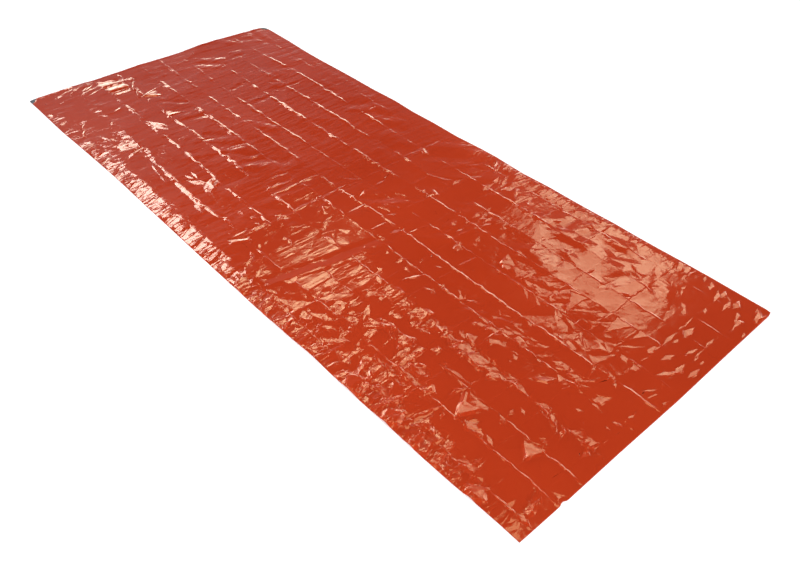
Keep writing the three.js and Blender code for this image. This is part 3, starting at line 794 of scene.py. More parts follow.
    (490, 1985, 28, 8, 180, -31, 120, "sliver"),
    (463, 1740, 16, 8, 123, -67, -12, "sliver"),
    (444, 1746, 20, 10, 110, -74, -12, "kite"),
    (454, 1972, 33, 8, 117, -79, 60, "sliver"),
    (484, 2049, 31, 6, 37, -56, 114, "sliver"),
    (483, 2095, 37, 14, -174, -49, 144, "kite"),
    (414, 1732, 19, 7, 114, -89, -25, "sliver"),
    (410, 1784, 30, 7, 67, -86, 17, "sliver"),
    (365, 1703, 24, 12, 76, -115, -23, "four"),
    (383, 1774, 37, 16, 107, -110, -29, "four"),
    (400, 1871, 29, 18, 57, -91, 16, "kite"),
    (394, 1884, 30, 14, 58, -80, 57, "four"),
    (393, 1916, 27, 14, 68, -86, 42, "kite"),
    (364, 1902, 21, 22, 169, -100, 29, "wedge"),
    (388, 1935, 22, 8, 156, -63, 93, "sliver"),
    (388, 1831, 23, 9, 46, -87, 41, "sliver"),
    (372, 1837, 17, 8, 111, -103, 8, "sliver"),
    (373, 1670, 25, 8, 83, -134, -36, "sliver"),
    (371, 1736, 21, 8, 73, -106, -2, "sliver"),
    (398, 1741, 60, 9, 82, -94, 6, "sliver"),
    (355, 1671, 24, 13, 48, -126, -43, "kite"),
    (342, 1739, 42, 13, 51, -118, -5, "four"),
    (339, 1794, 17, 12, 108, -108, 27, "kite"),
    (320, 1797, 10, 6, 107, -116, 25, "sliver"),
    (336, 1878, 42, 18, 37, -217, 157, "kite"),
    (305, 1695, 27, 23, 141, -141, -67, "wedge"),
    (300, 1670, 27, 13, 112, -149, -54, "sliver"),
    (396, 2065, 36, 6, -177, -39, 175, "sliver"),
    (384, 1997, 37, 22, -148, -102, 65, "kite"),
    (362, 1999, 25, 6, 95, -110, 63, "sliver"),
    (357, 2058, 20, 9, 79, -103, 99, "sliver"),
    (335, 2051, 10, 6, 114, -113, 91, "sliver"),
    (326, 1982, 16, 7, 60, -127, 46, "sliver"),
    (414, 1951, 42, 8, -161, -50, 107, "sliver"),
    (436, 1936, 33, 5, 163, -43, 102, "sliver"),
    (441, 1994, 17, 6, 145, -54, 99, "sliver"),
# near right
    (775, 1950, 25, 9, 129, 34, 98, "sliver"),
    (759, 1961, 26, 12, 158, 31, 102, "kite"),
    (709, 2008, 48, 18, 178, 20, 124, "kite"),
    (653, 1990, 50, 12, 178, -3, 103, "sliver"),
    (658, 2005, 24, 8, 171, 1, 114, "sliver"),
    (657, 2047, 36, 10, -157, -8, 149, "sliver"),
    (645, 2081, 19, 7, 174, 8, 160, "sliver"),
    (714, 2058, 38, 7, 176, 14, 166, "sliver"),
    (650, 2064, 29, 8, 166, 7, 150, "sliver"),
    (834, 1913, 23, 8, 165, 32, 94, "sliver"),
    (815, 1920, 16, 6, 166, 27, 95, "sliver"),
    (903, 1929, 21, 8, 163, 58, 116, "sliver"),
    (892, 1954, 34, 12, 152, 76, 120, "kite"),
    (868, 1984, 45, 12, 162, 56, 145, "sliver"),
    (886, 1992, 28, 12, 168, 80, 143, "kite"),
    (877, 2032, 25, 14, 178, 83, 167, "kite"),
    (856, 2019, 42, 10, 175, 57, 164, "sliver"),
    (814, 2067, 34, 16, 170, 67, 179, "wedge"),
    (844, 2055, 24, 8, 156, 58, 185, "sliver"),
    (801, 1993, 23, 8, 149, 34, 139, "sliver"),
    (877, 2090, 50, 18, 152, 92, 203, "kite"),
    (796, 2097, 22, 6, 170, 49, 204, "sliver"),
    (898, 1862, 27, 13, 167, 45, 73, "four"),
    (897, 1879, 26, 13, 158, 48, 83, "four"),
    (897, 1892, 25, 6, -164, -119, 266, "sliver"),
# right side
    (885, 1237, 45, 7, 143, 260, 451, "sliver"),
    (894, 1268, 30, 7, 172, 12, -173, "sliver"),
    (891, 1322, 32, 9, -173, -2, -135, "sliver"),
    (891, 1331, 24, 5, -171, 0, -129, "sliver"),
    (886, 1351, 38, 6, 176, 0, 217, "sliver"),
    (888, 1429, 38, 13, -171, 12, -95, "four"),
    (889, 1447, 36, 12, -175, 3, -91, "four"),
    (892, 1467, 31, 6, -165, 27, -51, "sliver"),
    (892, 1479, 31, 9, -165, 30, -44, "sliver"),
    (888, 1498, 38, 8, 176, 0, -68, "sliver"),
    (824, 1293, 36, 11, 157, -33, -165, "kite"),
    (784, 1300, 54, 12, 176, -25, -176, "kite"),
    (837, 1315, 45, 9, 151, -55, -186, "sliver"),
    (818, 1343, 46, 11, -165, -4, -144, "sliver"),
    (832, 1413, 43, 9, 148, -37, -129, "sliver"),
    (818, 1378, 34, 8, 140, -49, -152, "sliver"),
    (730, 1224, 40, 7, 173, -61, -230, "sliver"),
    (698, 1149, 38, 6, 79, -159, 34, "sliver"),
    (715, 1188, 55, 10, 57, -137, 61, "sliver"),
    (663, 1373, 45, 11, 175, -59, -157, "sliver"),
    (677, 1387, 27, 8, 172, -51, -147, "sliver"),
    (668, 1407, 35, 8, 177, -51, -137, "sliver"),
    (651, 1419, 27, 9, -167, -118, 204, "sliver"),
    (586, 1357, 26, 10, 160, -93, -182, "kite"),
    (576, 1388, 24, 9, 175, -44, 208, "sliver"),
    (625, 1197, 11, 6, 142, 186, 44, "sliver"),
    (634, 1223, 21, 18, -169, 185, 34, "wedge"),
    (550, 1199, 16, 12, 14, 135, 7, "kite"),
    (522, 1437, 35, 18, 142, -103, -148, "kite"),
    (445, 1285, 35, 13, -164, -118, 204, "kite"),
    (455, 1146, 14, 12, 124, 81, -20, "kite"),
    (370, 1379, 29, 16, -156, 75, 53, "kite"),
    (359, 1448, 42, 12, -163, -153, 265, "sliver"),
    (350, 1506, 20, 7, 61, -337, 72, "sliver"),
    (351, 1521, 19, 6, 115, 147, 131, "sliver"),
    (381, 1522, 20, 7, 131, 109, 122, "sliver"),
    (388, 1576, 25, 11, 143, -130, -92, "kite"),
    (367, 1336, 12, 8, 132, 64, 32, "kite"),
    (359, 1411, 26, 8, 99, 75, 65, "sliver"),
    (306, 1372, 19, 15, 96, 39, 37, "kite"),
    (295, 1378, 13, 12, 107, 34, 37, "sliver"),
    (306, 1185, 13, 6, 129, 10, -26, "sliver"),
    (428, 1460, 16, 7, 60, -276, 59, "sliver"),
    (411, 1412, 16, 5, 151, 114, 97, "sliver"),
    (496, 1491, 50, 6, -177, -26, 248, "sliver"),
    (480, 1311, 32, 6, -175, -55, 258, "sliver"),
    (481, 1218, 33, 7, -157, -86, 149, "sliver"),
    (523, 1168, 46, 28, 50, -68, 118, "soft kite"),
    (576, 1561, 64, 34, 140, -57, -65, "kite"),
    (577, 1630, 53, 9, -178, -43, -25, "sliver"),
    (667, 1568, 64, 12, 155, -20, -44, "sliver"),
# in the right-hand reflection
    (821, 1578, 61, 22, 7, 0, 114, "soft four"),
    (731, 1643, 44, 9, -177, 0, -114, "sliver"),
    (662, 1656, 68, 9, 173, 0, 114, "sliver"),
    (840, 1716, 46, 26, 98, 110, -29, "soft kite"),
    (801, 1790, 36, 9, 124, -81, -81, "sliver"),
    (799, 1817, 29, 9, 57, 99, -57, "sliver"),
    (788, 1879, 42, 14, 135, 57, 99, "soft kite"),
    (746, 1774, 29, 28, 172, 29, -110, "soft wedge"),
    (701, 1834, 28, 12, 76, 99, -57, "kite"),
    (706, 1724, 22, 8, -175, 29, -110, "sliver"),
    (761, 1611, 63, 26, 86, 114, 0, "soft four"),
    (668, 1613, 55, 46, 116, -79, -45, "soft four"),
    (805, 1535, 22, 8, -154, 81, -81, "sliver"),
    (849, 1619, 32, 10, 83, 114, 0, "sliver"),
# offshoots of the left bright fold
    (106, 837, 85, 12, 104, 85, 13, "kite"),
    (106, 609, 66, 6, 103, 89, 17, "sliver"),
    (98, 665, 50, 4, 100, 79, 9, "sliver"),
# the pleated top of the third cell row
    (275, 1491, 20, 16, -169, 45, 86, "four"),
    (270, 1518, 31, 20, -171, 48, 97, "four"),
    (268, 1576, 31, 20, -171, 58, 125, "wedge"),
    (273, 1623, 20, 20, -169, 70, 148, "four"),
    (274, 1640, 19, 20, -162, 74, 156, "wedge"),
    (274, 1657, 16, 18, -158, -162, -66, "four"),
# the larger bright shapes of the second and first cell rows
    (160, 1379, 80, 25, 29, -14, 20, "sliver"),
    (174, 1516, 58, 36, 59, -5, 77, "wedge"),
    (186, 1592, 42, 36, 98, 17, 116, "kite"),
    (161, 1620, 64, 20, 5, 8, 124, "sliver"),
    (158, 1641, 62, 20, 6, 11, 134, "sliver"),
    (142, 1463, 38, 23, 55, -24, 49, "sliver"),
    (67, 1380, 31, 26, 18, -34, 25, "sliver"),
    (94, 1415, 72, 20, 65, -35, 27, "sliver"),
    (70, 1590, 46, 23, 150, 0, 109, "wedge"),
    (69, 1621, 46, 23, 155, 5, 123, "wedge"),
    (77, 1643, 39, 20, 156, -2, 130, "sliver"),
    (74, 1550, 40, 20, 163, -4, 91, "wedge"),
    (72, 1499, 39, 23, 45, -32, 61, "wedge"),
# darker, soft places of the far half
    (595, 125, 78, 18, 37, 43, -60, "soft four"),
    (705, 133, 23, 20, 160, 23, -72, "soft kite"),
    (580, 460, 68, 10, 2, 10, -96, "soft sliver"),
    (582, 324, 32, 10, 151, -25, -116, "soft sliver"),
    (809, 38, 54, 26, 15, 11, -50, "soft four"),
    (705, 32, 45, 24, 23, 38, -43, "soft kite"),
    (688, 364, 66, 16, 94, 68, -15, "soft sliver"),
    (725, 377, 60, 20, 99, 60, -13, "soft sliver"),
    (856, 72, 111, 14, 87, 88, -9, "soft sliver"),
    (817, 323, 58, 26, 145, 17, -15, "soft four"),
    (728, 435, 56, 10, -2, 10, -96, "soft sliver"),
    (672, 425, 22, 18, 80, 63, -57, "soft kite"),
    (806, 532, 63, 14, 94, 87, -9, "soft sliver"),
    (721, 587, 33, 30, 117, 41, -23, "soft kite"),
    (364, 349, 50, 26, 20, 12, -38, "soft four"),
    (354, 419, 61, 18, 19, 18, -55, "soft four"),
    (237, 326, 43, 22, 114, 3, -24, "soft kite"),
    (252, 246, 48, 24, 104, 31, -14, "soft kite"),
    (170, 601, 80, 40, 99, 33, -15, "soft kite"),
    (357, 214, 55, 24, 111, 20, -12, "soft kite"),
    (408, 95, 51, 22, 107, 32, -11, "soft kite"),
    (247, 542, 45, 24, 119, -3, -27, "soft kite"),
    (345, 552, 44, 20, 26, 21, -47, "soft four"),
    (421, 498, 51, 22, 76, 41, -24, "soft kite"),
    (481, 631, 60, 26, 79, 56, -32, "soft kite"),
    (275, 1453, 44, 33, 95, 38, 68, "four"),
    (273, 1498, 33, 40, -32, 46, 88, "wedge"),
    (273, 1552, 40, 35, 84, 56, 114, "four"),
    (272, 1593, 38, 43, -38, 64, 134, "wedge"),
    (251, 1458, 17, 13, 160, 26, 66, "wedge"),
    (252, 1549, 15, 13, 157, 44, 108, "wedge"),
]
FACET_SHAPES = {
    "four": ((-1, -0.9), (0.95, -1), (1, 0.85), (-0.92, 1)),
    "wedge": ((-1, -1), (1, 0), (-1, 1)),
    "sliver": ((-1, 0), (-0.1, -1), (1, 0), (0.1, 1)),
    "kite": ((-1, 0), (0.3, -1), (1, 0), (0.3, 1)),
}


class Facet:
    def __init__(self, row):
        f = dict(zip(FACET_COLUMNS, row))
        self.a, self.d, t = f["across"], f["down"], math.radians(f["turn"])
        self.rise_a, self.rise_d = f["rise_across"] / 1000, f["rise_down"] / 1000
        self.corners = np.array([(self.a + u * f["long"] / 2 * math.cos(t) - v * f["short"] / 2 * math.sin(t),
                                  self.d + u * f["long"] / 2 * math.sin(t) + v * f["short"] / 2 * math.cos(t))
                                 for u, v in FACET_SHAPES[f["shape"].split()[-1]]])
        plane = self.plane(self.corners[:, 0], self.corners[:, 1])
        self.low, self.span = plane.min(), plane.max() - plane.min()
        soft, self.sunk = " " in f["shape"], 0.95 if f["shape"].startswith("sunk") else 0.45
        gentle = 6 if self.sunk > 0.5 else 17
        self.skirt = min(34.0, max(8.0, 0.5 * f["short"], gentle * self.span)) if soft else min(7.0, max(2.2, 1.6 * self.span))
        self.reach = 0.5 * math.hypot(f["long"], f["short"]) + 1.5 * self.skirt + 1
        nxt = np.roll(self.corners, -1, axis=0)
        turn = np.sum(self.corners[:, 0] * nxt[:, 1] - nxt[:, 0] * self.corners[:, 1])
        side = nxt - self.corners
        n = np.stack([side[:, 1], -side[:, 0]], -1) * (1 if turn > 0 else -1)
        self.outward = n / np.hypot(n[:, 0], n[:, 1])[:, None]

    def plane(self, a, d):
        return self.rise_a * (a - self.a) + self.rise_d * (d - self.d)

    def near(self, a, d):
        return (np.abs(a - self.a) < self.reach) & (np.abs(d - self.d) < self.reach)

    def outside(self, a, d):
        """Distance outside the facet's sides, minus inside."""
        out = np.full(a.shape, -1e9)
        for c, n in zip(self.corners, self.outward):
            out = np.maximum(out, (a - c[0]) * n[0] + (d - c[1]) * n[1])
        return out

    def rings(self):
        """The facet's own outline, and the outline of the skirt that falls from it."""
        n0, n1 = np.roll(self.outward, 1, axis=0), self.outward
        mitre = (n0 + n1) / np.maximum(0.25, 1 + np.sum(n0 * n1, axis=1))[:, None]
        return self.corners, self.corners + mitre * self.skirt


facets = [Facet(row) for row in FACETS]


def with_facets(z, a, d, height_at):
    z = z.copy()
    for f in facets:
        m = f.near(a, d)
        if not m.any():
            continue
        am, dm = a[m], d[m]
        share = np.clip(1 - f.outside(am, dm) / f.skirt, 0, 1)
        base = max(0.3, height_at(f) - f.sunk * f.span)
        z[m] = z[m] * (1 - share) + (base + np.clip(f.plane(am, dm) - f.low, -1, f.span + 1)) * share
    return z


def facets_net(net):
    for f in facets:
        for ring in f.rings():
            net.segments(ring, np.roll(ring, -1, axis=0))


cells = Cells(2.1, seed=11)
lattices = [Lattice(c["cell"], c["turn"], c["height"], 40 + i, c["mask"], 0.22 if c["height"] < 0.45 else 0.36) for i, c in enumerate(CRUMPLED)]


def calm(a, d):
    """How much the cells keep of their unevenness: little where the film lies flat and mirrors evenly."""
    return 1 - 0.72 * mirror_flat(a, d)


def plain_relief(a, d):
    """Height of the upper film's top face over the seam, before the single facets."""
    z = 1.9 + 0.55 * wave(a, d) + long_folds(a, d) + cross_folds(a, d) + cells.height(a, d) * calm(a, d)
    for lattice in lattices:
        z += lattice.height(a, d)
    stands = smooth((d - 320) / 60) * (1 - smooth((d - 1190) / 60))
    z = z + SHOULDER * stands * (1 - smooth((a - 46) / 75)) - np.interp(d + 0.3 * (a - 20), *DROOP) * np.clip(46 - a, 0, 46)
    ease = smooth(np.minimum((WIDTH - a) / np.interp(d, (1080, 1160, 1900, 2000), (60, 18, 18, 50)), (LENGTH - d) / WELD_EASE)) * np.clip(0.15 + 0.85 * a / LEFT_EASE, 0, 1)
    z = np.where(z < 0.4, 0.4 * np.exp((z - 0.4) / 1.2), z)
    lip = smooth(1 - d / 110) * np.interp(a, MOUTH_ACROSS, MOUTH_LIFT)
    return (z + lip) * ease + gathers(a, d)


middles = plain_relief(np.array([f.a for f in facets], float), np.array([f.d for f in facets], float))
facet_base = {id(f): float(z) for f, z in zip(facets, middles)}


def waves(seed, lengths, height, count=7):
    """A sum of plane waves: small even unevenness with no pattern."""
    r = np.random.default_rng(seed)
    turn, phase = r.uniform(0, math.pi, count), r.uniform(0, 2 * math.pi, count)
    k = 2 * math.pi / r.uniform(lengths[0], lengths[1], count)
    scale = height * math.sqrt(2 / count)
    return lambda a, d: scale * sum(np.sin(k[i] * (a * math.cos(turn[i]) + d * math.sin(turn[i])) + phase[i]) for i in range(count))


small = waves(51, (15, 44), 0.075, 9)
sway_across, sway_down = waves(52, (18, 60), 1.1), waves(53, (18, 60), 1.1)


def relief(a, d):
    z = with_facets(plain_relief(a, d), a, d, lambda f: facet_base[id(f)])
    rim = np.minimum(np.minimum(4 * a + 2, WIDTH - a), LENGTH - d)
    z = (z + small(a, d) * calm(a, d) + 0.8 * smooth(1 - d / 7)) * smooth(rim / 5 + 0.02)
    return z + np.interp(d, *EDGE_LIFT) * (1 + 0.3 * np.sin(d / 31 + 2 * np.sin(d / 87))) * np.clip(1 - a / 40, 0, 1)


def sway(a, d):
    """Bends every crease a little: places of the points as they lie."""
    inner = smooth(np.minimum(np.minimum(a, WIDTH - a), np.minimum(d, LENGTH - d)) / 16)
    return a + sway_across(a, d) * inner, d + sway_down(a, d) * inner


def outline(a, d, cut=0.0):
    """The outline's bulges, nick and rounded corners: across and down of the points as they lie.
    cut is how far the film's mouth corners are cut back."""
    lefts = [f["left"] for f in CROSS_FOLDS]
    out_left = np.interp(d, lefts, [f["bulge"][0] for f in CROSS_FOLDS])
    out_right = np.interp(d, lefts, [f["bulge"][1] for f in CROSS_FOLDS])
    near_left, near_right = smooth(1 - a / 60), smooth(1 - (WIDTH - a) / 60)
    a2 = a - out_left * near_left + out_right * near_right
    near_mouth, near_foot = smooth(1 - d / 70), smooth(1 - (LENGTH - d) / 50)
    d2 = d - np.interp(a, MOUTH_ACROSS, MOUTH_OUT) * near_mouth
    d2 = d2 + np.interp(a, FOOT_ACROSS, FOOT_OUT) * near_foot
    for down in (0.0, LENGTH):
        x, y = (WIDTH - a) / 16, np.abs(d - down) / 16
        w = np.clip(1 - np.maximum(x, y), 0, 1)
        a2 = a2 - (5.0 if down == 0 else 2.5) * w
        d2 = d2 + (5.0 if down == 0 else -2.5) * w
    for x in (a, WIDTH - a):
        w = np.clip(1 - np.maximum(x, d) / 22, 0, 1)
        a2 = a2 + (cut if x is a else -cut) * w
        d2 = d2 + cut * w
    return a2, d2


def place(a, d, z):
    """Row-frame coordinates in metres."""
    return np.stack([(a - WIDTH / 2 + SHIFT_ACROSS) / 1000, (LENGTH / 2 - d + SHIFT_ALONG) / 1000, z / 1000], -1)


# ------------------------------------------------------------------ from the crease net to triangles
def border(step):
    """Points round the bag's edge, anticlockwise seen with across to the right and down to the bottom."""
    na, nd = int(round(WIDTH / step)), int(round(LENGTH / step))
    a, d = np.linspace(0, WIDTH, na + 1), np.linspace(0, LENGTH, nd + 1)
    sides = [np.stack([a[:-1], np.zeros(na)], -1), np.stack([np.full(nd, WIDTH), d[:-1]], -1),
             np.stack([a[:0:-1], np.full(na, LENGTH)], -1), np.stack([np.zeros(nd), d[:0:-1]], -1)]
    return np.concatenate(sides)


STEPS = (4.6, 5.8, 7.4, 9.4, 12.0)


def fill(net_points, net_edges, spacing_at, seed, clear=1.8):
    """Scattered points between the creases, as far apart as spacing_at(a, d) says."""
    r = np.random.default_rng(seed)
    size = 2.0
    taken = np.zeros((int(WIDTH / size) + 3, int(LENGTH / size) + 3), bool)
    p, q = net_points[net_edges[:, 0]], net_points[net_edges[:, 1]]
    n = np.ceil(np.hypot(*(q - p).T) / 1.2).astype(int) + 1
    rep = np.repeat(np.arange(len(p)), n)
    first = np.concatenate([[0], np.cumsum(n)[:-1]])
    t = (np.arange(len(rep)) - first[rep]) / np.maximum(1, n[rep] - 1)
    pts = p[rep] + (q - p)[rep] * t[:, None]
    taken[(pts[:, 0] / size).astype(int).clip(0, taken.shape[0] - 1), (pts[:, 1] / size).astype(int).clip(0, taken.shape[1] - 1)] = True
    out = []
    for level, step in enumerate(STEPS):
        a, d = np.meshgrid(np.arange(step, WIDTH - step * 0.5, step), np.arange(step, LENGTH - step * 0.5, step * 0.87), indexing="ij")
        a = a + 0.5 * step * (np.arange(a.shape[1]) % 2)[None, :]
        a = a + r.uniform(-0.28, 0.28, a.shape) * step
        d = d + r.uniform(-0.28, 0.28, d.shape) * step
        a, d = a.ravel(), d.ravel()
        want = spacing_at(a, d)
        lo = 0 if level == 0 else 0.5 * (STEPS[level - 1] + step)
        hi = 1e9 if level == 4 else 0.5 * (STEPS[level + 1] + step)
        m = (want >= lo) & (want < hi) & (a > 2) & (a < WIDTH - 2) & (d > 2) & (d < LENGTH - 2)
        a, d = a[m], d[m]
        i, j = (a / size).astype(int), (d / size).astype(int)
        out.append(np.stack([a, d], -1)[~taken[i, j]])
    return np.concatenate(out)


def triangles(points, edges, border_points):
    """The border, the creases and the fill as triangles: points (n, 2), triangles (m, 3), creased edges (k, 2), border count."""
    from mathutils.geometry import delaunay_2d_cdt

    nb = len(border_points)
    ring = np.stack([np.arange(nb), (np.arange(nb) + 1) % nb], -1)
    allp = np.concatenate([border_points, points])
    alle = np.concatenate([ring, edges + nb])
    result = delaunay_2d_cdt([Vector(p) for p in allp.tolist()], alle.tolist(), [], 0, 1e-3)
    verts = np.array([v[:] for v in result[0]])
    faces = np.array(result[2])
    ids = np.full(nb, -1)
    for i, orig in enumerate(result[3]):
        for o in orig:
            if o < nb:
                ids[o] = i
    edge_list = np.array(result[1])
    creased = np.array([any(e >= nb for e in orig) for orig in result[4]], bool)
    # faces as seen with down to the bottom; make all turn the same way
    p = verts[faces]
    cross = (p[:, 1, 0] - p[:, 0, 0]) * (p[:, 2, 1] - p[:, 0, 1]) - (p[:, 1, 1] - p[:, 0, 1]) * (p[:, 2, 0] - p[:, 0, 0])
    faces = faces[np.abs(cross) > 1e-6]
    cross = cross[np.abs(cross) > 1e-6]
    # down runs towards -Y, so a face is turned up when its corners run clockwise in (across, down)
    faces[cross > 0] = faces[cross > 0][:, ::-1]
    return verts, faces, edge_list[creased], ids


def film_solid(name, top_points, top_faces, ring_top, under_points, under_faces, ring_under, creased=None):
    """A closed film from a top face, an under face and a rim between their borders."""
    n_top = len(top_points)
    r0, r1 = ring_top, np.roll(ring_top, -1)
    u0, u1 = ring_under + n_top, np.roll(ring_under, -1) + n_top
    rim = np.concatenate([np.stack([r0, r1, u1], -1), np.stack([r0, u1, u0], -1)])
    verts = np.concatenate([top_points, under_points])
    tris = np.concatenate([top_faces, under_faces[:, ::-1] + n_top, rim])
    mesh = bpy.data.meshes.new(name)
    mesh.vertices.add(len(verts))
    mesh.vertices.foreach_set("co", verts.astype(np.float32).ravel())
    mesh.loops.add(tris.size)
    mesh.loops.foreach_set("vertex_index", tris.astype(np.int32).ravel())
    mesh.polygons.add(len(tris))
    mesh.polygons.foreach_set("loop_start", np.arange(0, tris.size, 3, dtype=np.int32))
    mesh.polygons.foreach_set("use_smooth", np.ones(len(tris), bool))
    mesh.update(calc_edges=True)
    ends = np.zeros(len(mesh.edges) * 2, np.int32)
    mesh.edges.foreach_get("vertices", ends)
    ends = np.sort(ends.reshape(-1, 2), axis=1).astype(np.int64)
    key = ends[:, 0] * len(verts) + ends[:, 1]
    sharp_pairs = [np.stack([r0, r1], -1), np.stack([u0, u1], -1)]
    if creased is not None:
        sharp_pairs.append(creased)
    pairs = np.sort(np.concatenate(sharp_pairs), axis=1).astype(np.int64)
    sharp = np.isin(key, pairs[:, 0] * len(verts) + pairs[:, 1])
    attribute = mesh.attributes.get("sharp_edge") or mesh.attributes.new("sharp_edge", "BOOLEAN", "EDGE")
    attribute.data.foreach_set("value", sharp)
    even_normals(mesh)
    obj = bpy.data.objects.new(name, mesh)
    bpy.context.scene.collection.objects.link(obj)
    return obj


def even_normals(mesh):
    """Weights the smooth corners by area, so that the thinnest triangles between creases do not sway them."""
    corner, vertex = np.empty(len(mesh.loops) * 3, np.float32), np.empty(len(mesh.loops), np.int32)
    area, normal = np.empty(len(mesh.polygons), np.float32), np.empty(len(mesh.polygons) * 3, np.float32)
    mesh.corner_normals.foreach_get("vector", corner)
    mesh.loops.foreach_get("vertex_index", vertex)
    mesh.polygons.foreach_get("area", area)
    mesh.polygons.foreach_get("normal", normal)
    corner, normal = corner.reshape(-1, 3), normal.reshape(-1, 3)
    q = np.round(corner.astype(np.float64) * 1000).astype(np.int64) + 1000
    fan = np.unique(((vertex.astype(np.int64) * 2001 + q[:, 0]) * 2001 + q[:, 1]) * 2001 + q[:, 2], return_inverse=True)[1].ravel()
    weighted = np.repeat(normal.astype(np.float64) * (area.astype(np.float64) * 1e6)[:, None], 3, axis=0)
    total = np.stack([np.bincount(fan, weighted[:, i]) for i in range(3)], -1)[fan]
    size = np.linalg.norm(total, axis=1, keepdims=True)
    mesh.normals_split_custom_set(np.where(size > 1e-9, total / np.maximum(size, 1e-9), corner).tolist())


net = Net()
long_folds_net(net)
cross_folds_net(net)
cells.net(net)
gathers_net(net)
facets_net(net)
for lattice in lattices:
    lattice.net(net)
net_points, net_edges = np.concatenate(net.points), np.concatenate(net.edges)

fine_masks = [(c["mask"], min(c["cell"])) for c in CRUMPLED if c["mask"] is not None]


def spacing_at(a, d):
    want = np.interp(d, (0, 1000, 1300, LENGTH), (12.0, 12.0, 11.0, 11.0))
    for mask, short in fine_masks:
        want = np.minimum(want, np.where(mask(a, d) > 0.3, np.clip(short * 0.62, 7.9, 9.4), 99))
    return want


edge_ring = border(5.0)
filling = fill(net_points, net_edges, spacing_at, seed=9)
P, F, CREASED, RING = triangles(np.concatenate([net_points, filling]), net_edges, edge_ring)
A, D = P[:, 0], P[:, 1]
Z = relief(A, D) + SEAM_TOP
A2, D2 = outline(*sway(A, D), CORNER_CUT)

def crumpled_skin(a, d):
    """How finely the film is wrinkled: most along the folds and welds and in the crumpled places."""
    much = np.zeros_like(a)
    for c in CRUMPLED:
        if min(c["cell"]) < 20:
            much = np.maximum(much, 0.9 * c["mask"](a, d))
    near_half = smooth((d - 900) / 400)
    for f in LONG_FOLDS:
        x = a - fold_line(f, d)
        much = np.maximum(much, (0.25 + 0.6 * near_half) * np.exp(-np.abs(x) / np.where(x < 0, 11, 5)))
    much = np.maximum(much, (0.3 + 0.5 * near_half) * smooth(1 - (a - 40) / 20))
    much = np.maximum(much, (0.15 + 0.45 * near_half) * smooth(1 - (WIDTH - a - 40) / 20))
    much = np.maximum(much, 0.45 * block((560, 920), (1440, 1960), 30)(a, d))
    return np.maximum(much, 0.04 + 0.14 * near_half)


# under face: the same border, few points between, under every dip of the top face
coarse = np.stack(np.meshgrid(np.arange(24, WIDTH - 12, 24.0), np.arange(24, LENGTH - 12, 24.0), indexing="ij"), -1).reshape(-1, 2)
UP, UF, _, URING = triangles(coarse, np.zeros((0, 2), int), edge_ring)
bins = np.full((int(WIDTH / 12) + 3, int(LENGTH / 12) + 3), np.inf)
np.minimum.at(bins, ((A / 12).astype(int), (D / 12).astype(int)), Z)
low = bins.copy()
for di in (-2, -1, 0, 1, 2):
    for dj in (-2, -1, 0, 1, 2):
        low = np.minimum(low, np.roll(np.roll(bins, di, 0), dj, 1))
UZ = np.maximum(low[(UP[:, 0] / 12).astype(int), (UP[:, 1] / 12).astype(int)] - 0.5, UNDER_TOP + 0.3)
UZ[URING] = np.maximum(Z[RING] - 0.25, UNDER_TOP + 0.2)
UA2, UD2 = outline(UP[:, 0], UP[:, 1], CORNER_CUT)
upper_film = film_solid("upper_film", place(A2, D2, Z), F, RING, place(UA2, UD2, UZ), UF, URING, CREASED)

skin = upper_film.data.attributes.new("crumple", "FLOAT", "POINT")
skin.data.foreach_set("value", np.concatenate([crumpled_skin(A, D), np.zeros(len(UP))]).astype(np.float32))

# lower film: flat, its rim a little outside the upper one's
LA, LD = outline(UP[:, 0], UP[:, 1])
LD = LD + 0.4 * np.interp(UP[:, 0], MOUTH_ACROSS, MOUTH_OUT) * smooth(1 - UP[:, 1] / 70)
LA = LA + 0.5 * (smooth(1 - (WIDTH - UP[:, 0]) / 20) - smooth(1 - UP[:, 0] / 20))
LZ = np.zeros(len(LA))
LZ[URING] = np.maximum(UZ[URING] - 0.2 - UNDER_TOP, 0)      # welded to the upper film all round
lower_film = film_solid("lower_film", place(LA, LD, LZ + UNDER_TOP), UF, URING, place(LA, LD, LZ), UF, URING)
n_lower_top = len(UF)
print("upper film:", len(upper_film.data.polygons), "triangles; lower film:", len(lower_film.data.polygons))


# ------------------------------------------------------------------ materials
def nodes_of(name):
    m = bpy.data.materials.new(name)
    m.use_nodes = True
    nt = m.node_tree
    nt.nodes.clear()
    out = nt.nodes.new("ShaderNodeOutputMaterial")
    bsdf = nt.nodes.new("ShaderNodeBsdfPrincipled")
    nt.links.new(bsdf.outputs["BSDF"], out.inputs["Surface"])
    return m, nt, bsdf


